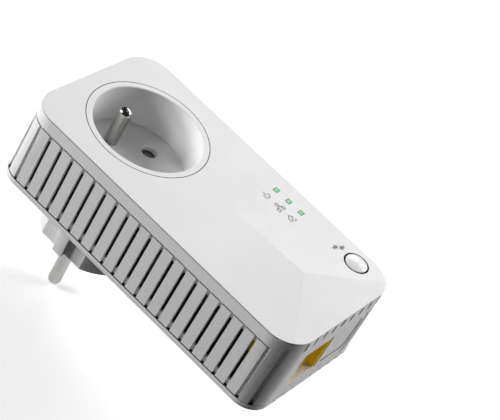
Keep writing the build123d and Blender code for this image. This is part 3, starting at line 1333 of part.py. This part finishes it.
def cut_drive(x, y, face_z, into, reach):
    """The hexagonal drive recess in a screw's head, into the head from its face."""
    with BuildSketch(Plane((x, y, face_z), x_dir=(1, 0, 0), z_dir=(0, 0, into))) as drive:
        RegularPolygon(reach, 6)
    extrude(drive.sketch, amount=DRIVE_DEPTH, mode=Mode.SUBTRACT)


with BuildPart() as case_screws:
    for x, y in CASE_POSTS:
        cylinder(x, y, CASE_HEAD_Z, CASE_HEAD_Z + CASE_HEAD, CASE_HEAD_RADIUS)
        cylinder(x, y, CASE_HEAD_Z + CASE_HEAD, CASE_SCREW_TOP_Z, CASE_SCREW_RADIUS)
        cut_drive(x, y, CASE_HEAD_Z, 1, DRIVE_RADIUS)
case_screws.part.label = "case_screws"
export_step(case_screws.part, "parts/case_screws.step")

with BuildPart() as board_screws:
    for x, y in STANDOFFS:
        cylinder(x, y, MAIN_BOARD_TOP, MAIN_BOARD_TOP + BOARD_HEAD, BOARD_HEAD_RADIUS)
        cylinder(x, y, BOARD_SCREW_LOW_Z, MAIN_BOARD_TOP, BOARD_SCREW_RADIUS)
        cut_drive(x, y, MAIN_BOARD_TOP + BOARD_HEAD, -1, DRIVE_RADIUS)
    for x, y in SIDE_POSTS:
        cylinder(x, y, SIDE_BOARD_Z - BOARD_HEAD, SIDE_BOARD_Z, BOARD_HEAD_RADIUS)
        cylinder(x, y, SIDE_BOARD_Z, SIDE_SCREW_TOP_Z, BOARD_SCREW_RADIUS)
        cut_drive(x, y, SIDE_BOARD_Z - BOARD_HEAD, 1, DRIVE_RADIUS)
board_screws.part.label = "board_screws"
export_step(board_screws.part, "parts/board_screws.step")
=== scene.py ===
"""Studio scene of the powerline adapter: finishes, printed icons, lights and the camera.

Everything is in metres, in the CAD frame: +Z away from the wall, +Y towards the socket.
"""

import bpy
import json
from math import cos, radians, sin
from mathutils import Matrix, Vector


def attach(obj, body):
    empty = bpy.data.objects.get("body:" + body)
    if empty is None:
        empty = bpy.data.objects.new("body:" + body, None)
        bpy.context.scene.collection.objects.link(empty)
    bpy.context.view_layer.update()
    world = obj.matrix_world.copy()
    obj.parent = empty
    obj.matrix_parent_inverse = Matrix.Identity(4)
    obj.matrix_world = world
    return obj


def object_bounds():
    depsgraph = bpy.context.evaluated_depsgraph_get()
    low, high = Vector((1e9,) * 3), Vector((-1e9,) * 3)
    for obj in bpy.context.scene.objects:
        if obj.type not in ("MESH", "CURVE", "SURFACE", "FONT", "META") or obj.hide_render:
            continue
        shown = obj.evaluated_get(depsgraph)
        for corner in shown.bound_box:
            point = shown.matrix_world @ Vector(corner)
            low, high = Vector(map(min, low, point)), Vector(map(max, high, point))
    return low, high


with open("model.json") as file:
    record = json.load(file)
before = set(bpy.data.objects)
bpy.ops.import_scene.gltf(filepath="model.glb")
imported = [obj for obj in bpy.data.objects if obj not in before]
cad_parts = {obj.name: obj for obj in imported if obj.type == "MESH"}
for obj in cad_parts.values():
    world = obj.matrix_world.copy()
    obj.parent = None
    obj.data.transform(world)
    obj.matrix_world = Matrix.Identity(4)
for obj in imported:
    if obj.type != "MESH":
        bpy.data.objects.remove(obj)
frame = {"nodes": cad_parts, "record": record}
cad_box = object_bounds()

MM = 0.001
NODES = frame["nodes"]

# ---------------------------------------------------------------- camera
CAMERA_PLACE = Vector((-0.45441, -0.19944, 0.43069))
CAMERA_FORWARD = Vector((0.74646, 0.25521, -0.61455))
CAMERA_ROLL = radians(-31.62)
LENS = 138.5
SENSOR = 36.0
NEAR_CLIP = 0.01


def add_camera():
    """A viewpoint high on the left of the port end, rolled by about a third of a right angle."""
    level_right = CAMERA_FORWARD.cross(Vector((0, 0, 1))).normalized()
    level_up = level_right.cross(CAMERA_FORWARD)
    right = cos(CAMERA_ROLL) * level_right - sin(CAMERA_ROLL) * level_up
    up = right.cross(CAMERA_FORWARD)
    data = bpy.data.cameras.new("photo_camera")
    data.lens = LENS
    data.sensor_width = SENSOR
    data.clip_start = NEAR_CLIP
    camera = bpy.data.objects.new("photo_camera", data)
    axes = Matrix((right, up, -CAMERA_FORWARD)).transposed()
    camera.matrix_world = Matrix.Translation(CAMERA_PLACE) @ axes.to_4x4()
    bpy.context.scene.collection.objects.link(camera)
    bpy.context.scene.camera = camera


# ---------------------------------------------------------------- lights
LIGHT_DISTANCE = 1.3
LIGHTS = (
    # name, azimuth, elevation, size, power
    ("far_low_light", 110, 13, 0.35, 11.4),
    ("far_left_light", 130, 25, 0.35, 8.3),
    ("right_light", -5, 35, 0.45, 6.0),
    ("right_low_light", -20, 15, 0.45, 3.2),
    ("near_right_light", -40, 25, 0.45, 6.6),
    ("right_far_light", 20, 30, 0.45, 3.1),
    ("top_light", -20, 70, 0.80, 0.8),
)
WORLD_STRENGTH = 0.03


def add_lights():
    """Soft lamps round the far end and the right side, over a weak even surround."""
    middle = Vector(cad_box[0]).lerp(Vector(cad_box[1]), 0.5)
    for name, azimuth, elevation, size, power in LIGHTS:
        azimuth, elevation = radians(azimuth), radians(elevation)
        away = Vector((cos(azimuth) * cos(elevation), sin(azimuth) * cos(elevation), sin(elevation)))
        data = bpy.data.lights.new(name, "AREA")
        data.shape = "DISK"
        data.size = size
        data.energy = power
        lamp = bpy.data.objects.new(name, data)
        lamp.location = middle + LIGHT_DISTANCE * away
        lamp.rotation_euler = away.to_track_quat("Z", "Y").to_euler()
        bpy.context.scene.collection.objects.link(lamp)
    world = bpy.data.worlds.new("studio")
    world.use_nodes = True
    world.node_tree.nodes["Background"].inputs["Color"].default_value = (1, 1, 1, 1)
    world.node_tree.nodes["Background"].inputs["Strength"].default_value = WORLD_STRENGTH
    bpy.context.scene.world = world


# ---------------------------------------------------------------- materials
# lengths are in millimetres and colours are linear
# painted shade: the colour put on the case's inside, its gaps, slots and hole walls
SHADED = (0.035, 0.035, 0.037)
HALF_WIDTH = 30.0
HALF_LENGTH = 58.85
MIDDLE_Y = -31.2
BACK_Z = 20.6
CORNER_BACK = 8.0
CORNER_GROWTH = 2.5 / 31.4
SKIN = 1.95
SHELL_LOW_Z = 22.55
SHELL_HIGH_Z = 50.05
# low and high edges of the case's shadow gaps, where shade is painted
BAND_GAP = (46.72, 47.13)
REAR_GAP = (22.52, 23.03)
NEAR_REAR_GAP = (22.52, 22.74)
EDGE_GROOVE = (51.59, 51.81)
WELL_RING = 21.55
WELL_CUP = 20.0
WELL_OPENING = 21.83
BUTTON_PLACE = (22.75, -76.7)
BUTTON_BORE = 4.62
BUTTON_SIDE = 3.92
PORT_END_Y = -87.5
NEAR_SEAM_Y = -83.3
SLOT_LOW_Z = 25.6
SLOT_HIGH_Z = 44.3
SIDE_SLOT_DEPTHS = (27.6, 29.02)
SIDE_SLOT_RUN = (-80.0, 17.0)
FAR_SLOT_DEPTHS = (25.2, 26.67)
FAR_SLOT_RUN = (-22.0, 22.0)
# low x, high x, low z and high z of windows in the port end, where shade is painted on side faces
PANEL_LEFT_GAP = (-19.8, -19.0, 24.0, 45.2)
PANEL_TOP_GAP = (-19.8, 19.8, 44.5, 45.2)
NEAR_VENTS = (-24.0, 24.0, 47.6, 51.2)
RIM_VENTS = (-22.0, 22.0, 21.1, 22.1)
PORT_AND_BLANK_EDGES = (0.5, 18.6, 24.9, 44.0)
WINDOW_X = 22.4
WINDOW_Y = (-40.6, -46.25, -51.9)
WINDOW_HALF_X = 0.78
WINDOW_HALF_Y = 0.58
FLOW_MARKS = 14
FLOW_TINT = (1, 1, 0.985)
GLOSS_PATCHES = 3
PLASTIC_IOR = 1.5
COAT_ROUGHNESS = 0.12
METAL_TINT = (1, 0.98, 0.95)
METAL_LINES = 0.3
METAL_RELIEF = 0.002
TRACK_EDGES = (0.48, 0.52)
# length of one wave of the wave texture at a scale of one
WAVE_LENGTH = 0.314


class Finish:
    """A node material built round one Principled shader, in object coordinates."""

    def __init__(self, name, colour, roughness, metallic=0.0):
        self.material = bpy.data.materials.new(name)
        self.material.use_nodes = True
        self.nodes = self.material.node_tree.nodes
        self.links = self.material.node_tree.links
        self.shader = self.nodes["Principled BSDF"]
        self.place = self.nodes.new("ShaderNodeTexCoord").outputs["Object"]
        self.colour = colour
        self.roughness = roughness
        self.shader.inputs["Metallic"].default_value = metallic

    def noise(self, size_mm, detail=2.0, stretch=(1, 1, 1)):
        """A noise pattern with features of about that size."""
        mapping = self.nodes.new("ShaderNodeMapping")
        mapping.inputs["Scale"].default_value = stretch
        self.links.new(self.place, mapping.inputs["Vector"])
        noise = self.nodes.new("ShaderNodeTexNoise")
        noise.inputs["Scale"].default_value = 1 / (size_mm * MM)
        noise.inputs["Detail"].default_value = detail
        self.links.new(mapping.outputs["Vector"], noise.inputs["Vector"])
        return noise.outputs["Fac"]

    def ramp(self, value, low, high, start=0.3, end=0.7):
        """Maps a pattern to a range of values."""
        spread = self.nodes.new("ShaderNodeMapRange")
        spread.inputs["From Min"].default_value = start
        spread.inputs["From Max"].default_value = end
        spread.inputs["To Min"].default_value = low
        spread.inputs["To Max"].default_value = high
        self.links.new(value, spread.inputs["Value"])
        return spread.outputs["Result"]

    def vary_colour(self, value, amount, tint=(1, 1, 1)):
        """Colour varies by a share, towards a tint."""
        mix = self.nodes.new("ShaderNodeMix")
        mix.data_type = "RGBA"
        shifted = [c * t * (1 - amount) for c, t in zip(self.colour, tint)]
        mix.inputs["A"].default_value = (*self.colour, 1)
        mix.inputs["B"].default_value = (*shifted, 1)
        self.links.new(value, mix.inputs["Factor"])
        self.links.new(mix.outputs["Result"], self.shader.inputs["Base Color"])

    def vary_roughness(self, value, amount):
        """Roughness varies by an amount either way."""
        spread = self.ramp(value, self.roughness - amount, self.roughness + amount)
        self.links.new(spread, self.shader.inputs["Roughness"])

    def math(self, operation, *values):
        """One arithmetic step on patterns or numbers."""
        step = self.nodes.new("ShaderNodeMath")
        step.operation = operation
        for socket, value in zip(step.inputs, values):
            if isinstance(value, (int, float)):
                socket.default_value = value
            else:
                self.links.new(value, socket)
        return step.outputs["Value"]

    def axes(self):
        """The three object coordinates."""
        split = self.nodes.new("ShaderNodeSeparateXYZ")
        self.links.new(self.place, split.inputs["Vector"])
        return split.outputs["X"], split.outputs["Y"], split.outputs["Z"]

    def darken_where(self, mask, colour):
        """A second colour wherever the mask is one."""
        mix = self.nodes.new("ShaderNodeMix")
        mix.data_type = "RGBA"
        mix.inputs["B"].default_value = (*colour, 1)
        self.links.new(self.shader.inputs["Base Color"].links[0].from_socket, mix.inputs["A"])
        self.links.new(mask, mix.inputs["Factor"])
        self.links.new(mix.outputs["Result"], self.shader.inputs["Base Color"])

    def band_mask(self, value, low, high):
        """One where a pattern lies between two values."""
        above = self.math("GREATER_THAN", value, low)
        below = self.math("LESS_THAN", value, high)
        return self.math("MULTIPLY", above, below)

    def hypotenuse(self, first, second):
        """The length of a step given by its two parts."""
        squares = [self.math("MULTIPLY", value, value) for value in (first, second)]
        return self.math("SQRT", self.math("ADD", *squares))

    def from_axis(self, axis_x, axis_y):
        """Plan distance from an upright axis, in metres."""
        x, y, _ = self.axes()
        across = self.math("SUBTRACT", x, axis_x * MM)
        along = self.math("SUBTRACT", y, axis_y * MM)
        return self.hypotenuse(across, along)

    def under_skin(self):
        """Plan depth under the body's rounded outline, in metres, positive inside."""
        x, y, z = self.axes()
        up = self.math("SUBTRACT", z, BACK_Z * MM)
        corner = self.math("ADD", self.math("MULTIPLY", up, CORNER_GROWTH), CORNER_BACK * MM)
        from_side = self.math("SUBTRACT", HALF_WIDTH * MM, self.math("ABSOLUTE", x))
        offset = self.math("SUBTRACT", y, MIDDLE_Y * MM)
        from_end = self.math("SUBTRACT", HALF_LENGTH * MM, self.math("ABSOLUTE", offset))
        short_x = self.math("MAXIMUM", self.math("SUBTRACT", corner, from_side), 0)
        short_y = self.math("MAXIMUM", self.math("SUBTRACT", corner, from_end), 0)
        in_corner = self.math("SUBTRACT", corner, self.hypotenuse(short_x, short_y))
        straight = self.math("MINIMUM", from_side, from_end)
        past_x = self.math("GREATER_THAN", short_x, 0)
        past_y = self.math("GREATER_THAN", short_y, 0)
        is_corner = self.math("MULTIPLY", past_x, past_y)
        bent = self.math("MULTIPLY", is_corner, in_corner)
        flat = self.math("MULTIPLY", self.math("SUBTRACT", 1, is_corner), straight)
        return self.math("ADD", bent, flat)

    def paint_shade_inside(self):
        """Painted shade on the case's inside faces, between the back plate and the underside of the
        front.
        """
        _, _, z = self.axes()
        deep = self.math("GREATER_THAN", self.under_skin(), SKIN * MM)
        level = self.band_mask(z, SHELL_LOW_Z * MM, SHELL_HIGH_Z * MM)
        self.darken_where(self.math("MULTIPLY", deep, level), SHADED)

    def paint_shade_in_gaps(self, levels, from_y=-2 * HALF_LENGTH + MIDDLE_Y):
        """Painted shade in bands of height beyond a distance along the body, for the case's shadow
        gaps.
        """
        _, y, z = self.axes()
        beyond = self.math("GREATER_THAN", y, from_y * MM)
        for low, high in levels:
            level = self.band_mask(z, low * MM, high * MM)
            self.darken_where(self.math("MULTIPLY", beyond, level), SHADED)

    def paint_shade_in_slots(self):
        """Painted shade on the walls of the ventilation slots, deeper than the floors of the grooves.
        """
        x, y, z = self.axes()
        level = self.band_mask(z, SLOT_LOW_Z * MM, SLOT_HIGH_Z * MM)
        for across, along, (low, high), (start, end) in (
            (self.math("ABSOLUTE", x), y, SIDE_SLOT_DEPTHS, SIDE_SLOT_RUN),
            (y, x, FAR_SLOT_DEPTHS, FAR_SLOT_RUN),
        ):
            wall = self.band_mask(across, low * MM, high * MM)
            run = self.band_mask(along, start * MM, end * MM)
            self.darken_where(self.math("MULTIPLY", level, self.math("MULTIPLY", wall, run)), SHADED)

    def paint_shade_on_side_faces(self, low_x, high_x, low_z, high_z):
        """Painted shade on faces across the port end's face, inside a window of it."""
        x, y, z = self.axes()
        geometry = self.nodes.new("ShaderNodeNewGeometry")
        turn = self.nodes.new("ShaderNodeSeparateXYZ")
        self.links.new(geometry.outputs["True Normal"], turn.inputs["Vector"])
        across = self.math("LESS_THAN", self.math("ABSOLUTE", turn.outputs["Y"]), 0.5)
        width = self.band_mask(x, low_x * MM, high_x * MM)
        height = self.band_mask(z, low_z * MM, high_z * MM)
        window = self.math("MULTIPLY", width, height)
        near = self.math("LESS_THAN", y, PORT_END_Y * MM)
        self.darken_where(self.math("MULTIPLY", across, self.math("MULTIPLY", window, near)), SHADED)

    def paint_shade_on_round_walls(self, low, high, axis_x=0.0, axis_y=0.0):
        """Painted shade on upright round walls between two distances from an axis."""
        reach = self.from_axis(axis_x, axis_y)
        self.darken_where(self.band_mask(reach, low * MM, high * MM), SHADED)

    def bump(self, value, depth_mm):
        """A fine relief of that depth."""
        bump = self.nodes.new("ShaderNodeBump")
        bump.inputs["Strength"].default_value = 1
        bump.inputs["Distance"].default_value = depth_mm * MM
        self.links.new(value, bump.inputs["Height"])
        self.links.new(bump.outputs["Normal"], self.shader.inputs["Normal"])


def plastic(name, colour, roughness, grain_mm=0.25, depth_mm=0.004, coat=0.0, shade=None):
    """Moulded plastic: a fine spark-eroded grain, slight flow marks and uneven gloss."""
    finish = Finish(name, colour, roughness)
    finish.vary_colour(finish.ramp(finish.noise(FLOW_MARKS, detail=3), 0, 1), 0.03, FLOW_TINT)
    finish.vary_roughness(finish.noise(GLOSS_PATCHES, detail=4), 0.05)
    finish.bump(finish.noise(grain_mm, detail=3), depth_mm)
    finish.shader.inputs["IOR"].default_value = PLASTIC_IOR
    finish.shader.inputs["Coat Weight"].default_value = coat
    finish.shader.inputs["Coat Roughness"].default_value = COAT_ROUGHNESS
    # painted shade, where a shade function is given
    if shade:
        shade(finish)
    return finish.material


def metal(name, colour, roughness, stretch=(1, 1, 12), patches=0.12):
    """Plated or stamped metal with fine drawing lines and dull patches."""
    finish = Finish(name, colour, roughness, metallic=1.0)
    finish.vary_colour(finish.ramp(finish.noise(5, detail=4), 0, 1), patches, METAL_TINT)
    finish.vary_roughness(finish.noise(1.2, detail=4), 0.07)
    lines = finish.noise(METAL_LINES, detail=2, stretch=[1 / s for s in stretch])
    finish.bump(lines, METAL_RELIEF)
    return finish.material


def laminate(name, colour):
    """Circuit board: solder mask with faint tracks under it."""
    finish = Finish(name, colour, 0.38)
    tracks = finish.noise(2.2, detail=1, stretch=(1, 6, 1))
    finish.vary_colour(finish.ramp(tracks, 0, 1, *TRACK_EDGES), 0.3)
    finish.vary_roughness(finish.noise(1), 0.08)
    finish.bump(finish.noise(0.8, detail=1), 0.01)
    return finish.material


def coil(name, colour, turn_mm):
    """Enamelled wire: close-wound turns seen as fine ribs."""
    finish = Finish(name, colour, 0.3, metallic=0.7)
    wave = finish.nodes.new("ShaderNodeTexWave")
    wave.bands_direction = "Z"
    wave.inputs["Scale"].default_value = WAVE_LENGTH / (turn_mm * MM)
    finish.links.new(finish.place, wave.inputs["Vector"])
    finish.vary_colour(wave.outputs["Fac"], 0.5)
    finish.vary_roughness(finish.noise(1), 0.08)
    finish.bump(wave.outputs["Fac"], turn_mm / 3)
    return finish.material


def port_plastic():
    """Amber plastic with a faint painted glow."""
    material = plastic("port_plastic", (0.78, 0.52, 0.008), 0.34)
    shader = material.node_tree.nodes["Principled BSDF"]
    # painted glow: a faint emission that brightens the amber plastic
    shader.inputs["Emission Color"].default_value = (1.0, 0.68, 0.0, 1)
    shader.inputs["Emission Strength"].default_value = 0.09
    return material


def window_plastic():
    """Green tinted indicator windows, with painted shade where they meet their frames and a faint
    painted green glow.
    """
    finish = Finish("light_pipe", (0.16, 0.62, 0.20), 0.28)
    x, y, _ = finish.axes()
    centre_x = finish.math("ABSOLUTE", finish.math("SUBTRACT", x, WINDOW_X * MM))
    edge = finish.math("GREATER_THAN", centre_x, WINDOW_HALF_X * MM)
    for window_y in WINDOW_Y:
        centre_y = finish.math("ABSOLUTE", finish.math("SUBTRACT", y, window_y * MM))
        border = finish.math("GREATER_THAN", centre_y, WINDOW_HALF_Y * MM)
        near = finish.math("LESS_THAN", centre_y, 2 * WINDOW_HALF_Y * MM)
        edge = finish.math("MAXIMUM", edge, finish.math("MULTIPLY", border, near))
    finish.vary_colour(finish.ramp(finish.noise(1.5), 0, 1), 0.12)
    finish.vary_roughness(finish.noise(1), 0.05)
    finish.bump(finish.noise(0.3), 0.004)
    # painted shade at the windows' borders, where they meet their frames
    finish.darken_where(edge, (0.02, 0.14, 0.03))
    # painted glow, standing in for the lit indicator lights
    finish.shader.inputs["Emission Color"].default_value = (0.05, 0.6, 0.1, 1)
    finish.shader.inputs["Emission Strength"].default_value = 0.06
    return finish.material


def shade_cover(finish):
    """Painted shade on the front cover's inside, its shadow gaps and the holes for the socket, button
    and panel.
    """
    finish.paint_shade_inside()
    finish.paint_shade_in_gaps((BAND_GAP, EDGE_GROOVE), from_y=NEAR_SEAM_Y)
    finish.paint_shade_in_gaps((NEAR_REAR_GAP,))
    finish.paint_shade_on_round_walls(0, WELL_OPENING)
    finish.paint_shade_on_round_walls(0, BUTTON_BORE, *BUTTON_PLACE)
    finish.paint_shade_on_side_faces(*PANEL_LEFT_GAP)
    finish.paint_shade_on_side_faces(*PANEL_TOP_GAP)
    finish.paint_shade_on_side_faces(*NEAR_VENTS)


def shade_case(finish):
    """Painted shade on the rear parts' inside, the shadow gaps between them, the slots and the rim
    vents.
    """
    finish.paint_shade_inside()
    finish.paint_shade_in_gaps((BAND_GAP, REAR_GAP))
    finish.paint_shade_in_slots()
    finish.paint_shade_on_side_faces(*RIM_VENTS)


def shade_well(finish):
    """Painted shade on the outside of the socket's cup, which sits inside the case, and on its ring's
    edge.
    """
    _, _, z = finish.axes()
    outer = finish.math("GREATER_THAN", finish.from_axis(0, 0), WELL_CUP * MM)
    below = finish.math("LESS_THAN", z, SHELL_HIGH_Z * MM)
    finish.darken_where(finish.math("MULTIPLY", outer, below), SHADED)
    finish.paint_shade_on_round_walls(WELL_RING, 2 * WELL_RING)


def shade_panel(finish):
    """Painted shade on the panel's left and top edges, the port opening's right side and the blank's
    edges.
    """
    finish.paint_shade_on_side_faces(*PANEL_LEFT_GAP)
    finish.paint_shade_on_side_faces(*PANEL_TOP_GAP)
    finish.paint_shade_on_side_faces(*PORT_AND_BLANK_EDGES)


def shade_button(finish):
    """Painted shade on the button's side, under its rounded edge."""
    finish.paint_shade_on_round_walls(BUTTON_SIDE, 2 * BUTTON_SIDE, *BUTTON_PLACE)


def make_materials():
    """One finish for each of the record's material slots."""
    return {
        "white_shell": plastic("white_shell", (0.80, 0.80, 0.805), 0.44, shade=shade_cover),
        "white_well": plastic("white_well", (0.80, 0.80, 0.805), 0.44, shade=shade_well),
        "white_panel": plastic("white_panel", (0.80, 0.80, 0.805), 0.44, shade=shade_panel),
        "grey_shell": plastic("grey_shell", (0.78, 0.78, 0.785), 0.46, shade=shade_case),
        "button_white": plastic("button_white", (0.80, 0.80, 0.80), 0.30, shade=shade_button),
        "printed_grey": plastic(
            "printed_grey", (0.20, 0.20, 0.205), 0.55, grain_mm=0.1, depth_mm=0.002
        ),
        "shutter_grey": plastic("shutter_grey", (0.62, 0.62, 0.625), 0.42),
        "label": plastic("label", (0.62, 0.62, 0.61), 0.5, grain_mm=0.6, depth_mm=0.001),
        "nickel_pin": metal("nickel_pin", (0.42, 0.42, 0.41), 0.20, patches=0.05),
        "nickel_strip": metal("nickel_strip", (0.60, 0.59, 0.57), 0.30),
        "spring_steel": metal("spring_steel", (0.45, 0.45, 0.45), 0.30),
        "brass_strip": metal("brass_strip", (0.72, 0.52, 0.22), 0.30),
        "dark_plastic": plastic("dark_plastic", (0.10, 0.10, 0.105), 0.45),
        "board_laminate": laminate("board_laminate", (0.02, 0.13, 0.04)),
        "port_plastic": port_plastic(),
        "gold_contacts": metal("gold_contacts", (0.85, 0.62, 0.25), 0.22),
        "ferrite": plastic("ferrite", (0.035, 0.035, 0.038), 0.7, grain_mm=0.15, depth_mm=0.02),
        "tape": plastic("tape", (0.70, 0.50, 0.05), 0.25, grain_mm=1.2, depth_mm=0.01),
        "capacitor_sleeve": plastic("capacitor_sleeve", (0.02, 0.03, 0.08), 0.25, coat=0.4),
        "copper_wire": coil("copper_wire", (0.50, 0.17, 0.06), 0.5),
        "capacitor_case": plastic("capacitor_case", (0.60, 0.40, 0.05), 0.4),
        "fuse_body": plastic("fuse_body", (0.55, 0.57, 0.55), 0.12, coat=0.5),
        "varistor_coat": plastic("varistor_coat", (0.02, 0.08, 0.35), 0.3),
        "chip_epoxy": plastic("chip_epoxy", (0.02, 0.02, 0.022), 0.5, grain_mm=0.12),
        "sink_aluminium": metal("sink_aluminium", (0.62, 0.62, 0.63), 0.38, stretch=(1, 12, 1)),
        "led_lens": plastic("led_lens", (0.75, 0.78, 0.60), 0.15, coat=0.5),
        "light_pipe": window_plastic(),
        "zinc_screw": metal("zinc_screw", (0.55, 0.55, 0.56), 0.32),
    }


OWN_FINISH = {"socket_well": "white_well", "port_panel": "white_panel"}


def paint_nodes(materials):
    """Each CAD node takes the finish of its slot, or its own."""
    for part in frame["record"]["subparts"]:
        data = NODES[part["node"]].data
        data.materials.clear()
        finish = OWN_FINISH.get(part["node"], part["material_slot"])
        data.materials.append(materials[finish])


# ---------------------------------------------------------------- floor
FLOOR_REACH = 3.0
FLOOR_GAP = 0.2
FLOOR_COLOUR = (0.9, 0.9, 0.9)
FLOOR_GLOW = 0.35


def add_floor():
    """A plain pale floor just under the plug pins."""
    low = cad_box[0][2] - FLOOR_GAP * MM
    corners = [(x * FLOOR_REACH, y * FLOOR_REACH, low) for x, y in ((-1, -1), (1, -1), (1, 1), (-1, 1))]
    mesh = bpy.data.meshes.new("floor")
    mesh.from_pydata(corners, [], [(0, 1, 2, 3)])
    floor = bpy.data.objects.new("floor", mesh)
    bpy.context.scene.collection.objects.link(floor)
    finish = Finish("floor", FLOOR_COLOUR, 0.7)
    finish.vary_roughness(finish.noise(30), 0.03)
    finish.shader.inputs["Base Color"].default_value = (*FLOOR_COLOUR, 1)
    finish.shader.inputs["Emission Color"].default_value = (1, 1, 1, 1)
    finish.shader.inputs["Emission Strength"].default_value = FLOOR_GLOW
    mesh.materials.append(finish.material)
    floor.visible_diffuse = False


# ---------------------------------------------------------------- printed icons
# lengths are in millimetres
INK_LIFT = 0.02
INK_THICKNESS = 0.03
STROKE = 0.28
THIN_STROKE = 0.2
ARC_POINTS = 20
MITRE_LIMIT = 0.4
ICON_X = 16.8
PAIRING_PLACE = (22.5, -68.7)
FACET_START_Y = -40.2
FACET_PEAK_Y = -70.4
FACET_NEAR_Y = -90.05
FACET_HALF_X = HALF_WIDTH
FACET_Z = 52.0
FACET_RISE = 1.3


def facet_height(x, y):
    """Height of the front's long facets, in millimetres."""
    share = abs(x) / FACET_HALF_X
    reach = FACET_START_Y - FACET_PEAK_Y + share * (FACET_PEAK_Y - FACET_NEAR_Y)
    along = max(0.0, (FACET_START_Y - y) / reach)
    return FACET_Z + FACET_RISE * along * (1 - share)


def band(points, width=STROKE, closed=False):
    """The left and right sides of a drawn line, mitred at its corners."""
    points = [Vector(p) for p in points]
    count = len(points)
    left, right = [], []
    for i, point in enumerate(points):
        before = points[i - 1] if i or closed else None
        after = points[(i + 1) % count] if i < count - 1 or closed else None
        into = (point - before).normalized() if before else (after - point).normalized()
        out = (after - point).normalized() if after else into
        normal_in, normal_out = Vector((-into.y, into.x)), Vector((-out.y, out.x))
        mitre = (normal_in + normal_out).normalized()
        side = mitre * (width / 2 / max(MITRE_LIMIT, mitre.dot(normal_in)))
        left.append(point + side)
        right.append(point - side)
    steps = count if closed else count - 1
    return [(left[i], left[(i + 1) % count], right[(i + 1) % count], right[i]) for i in range(steps)]


def arc(radius, start, end):
    """Points round an arc, from one angle to another in degrees."""
    turns = [radians(start + (end - start) * i / (ARC_POINTS - 1)) for i in range(ARC_POINTS)]
    return [(radius * cos(t), radius * sin(t)) for t in turns]


def square(middle, half):
    """Corners of a square."""
    signs = ((-1, -1), (1, -1), (1, 1), (-1, 1))
    return [(middle[0] + sx * half, middle[1] + sy * half) for sx, sy in signs]


def arrow(middle, way):
    """A short solid arrow pointing along x."""
    shape = ((-1.25, -0.48), (0, -0.48), (0, -1.1), (1.25, 0), (0, 1.1), (0, 0.48), (-1.25, 0.48))
    corners = [Vector((middle[0] + way * x, middle[1] + way * y)) for x, y in shape]
    return [(corners[0], corners[1], corners[5], corners[6]), (corners[2], corners[3], corners[4])]


def print_icon(name, x, y, patches):
    """Ink a few hundredths of a millimetre thick, following the facet."""
    vertices, faces = [], []
    for patch in patches:
        if sum(a.x * b.y - b.x * a.y for a, b in zip(patch, patch[1:] + patch[:1])) < 0:
            patch = patch[::-1]
        first, count = len(vertices), len(patch)
        for lift in (INK_LIFT, INK_LIFT + INK_THICKNESS):
            for corner in patch:
                px, py = x + corner[0], y + corner[1]
                vertices.append((px * MM, py * MM, (facet_height(px, py) + lift) * MM))
        faces.append([first + count + i for i in range(count)])
        faces.append([first + i for i in reversed(range(count))])
        for i in range(count):
            j = (i + 1) % count
            faces.append([first + i, first + j, first + count + j, first + count + i])
    mesh = bpy.data.meshes.new(name)
    mesh.from_pydata(vertices, [], faces)
    mesh.materials.append(MATERIALS["printed_grey"])
    icon = bpy.data.objects.new(name, mesh)
    bpy.context.scene.collection.objects.link(icon)
    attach(icon, "adapter")


def print_icons():
    """Power, network and mains-link signs beside the lights, and a pairing sign by the button."""
    power = band(arc(1.15, 150, 390)) + band([(0, 0.1), (0, 1.75)])
    print_icon("power_icon", ICON_X, WINDOW_Y[0], power)
    network = band([(0, 0.45), (0, -0.2)], THIN_STROKE)
    network += band([(-1.15, -0.45), (-1.15, -0.1), (1.15, -0.1), (1.15, -0.45)], THIN_STROKE)
    for middle in ((0, 1.0), (-1.15, -1.05), (1.15, -1.05)):
        network += band(square(middle, 0.55), 0.26, closed=True)
    print_icon("network_icon", ICON_X, WINDOW_Y[1], network)
    house = band([(-1.15, -1.35), (-1.15, 0.3), (0, 1.35), (1.15, 0.3), (1.15, -0.1)])
    house += band([(-0.35, -1.2), (0.25, -0.35), (-0.15, -0.45), (0.55, 0.4)], 0.24)
    house += band([(0.25, -1.35), (1.25, -1.35), (1.25, -0.7)])
    print_icon("mains_link_icon", ICON_X, WINDOW_Y[2], house)
    print_icon("pairing_icon", *PAIRING_PLACE, arrow((-1.0, 0.55), 1) + arrow((1.05, -0.8), -1))


MATERIALS = make_materials()
add_camera()
add_lights()
paint_nodes(MATERIALS)
print_icons()
add_floor()
bpy.context.scene.view_settings.view_transform = "Standard"
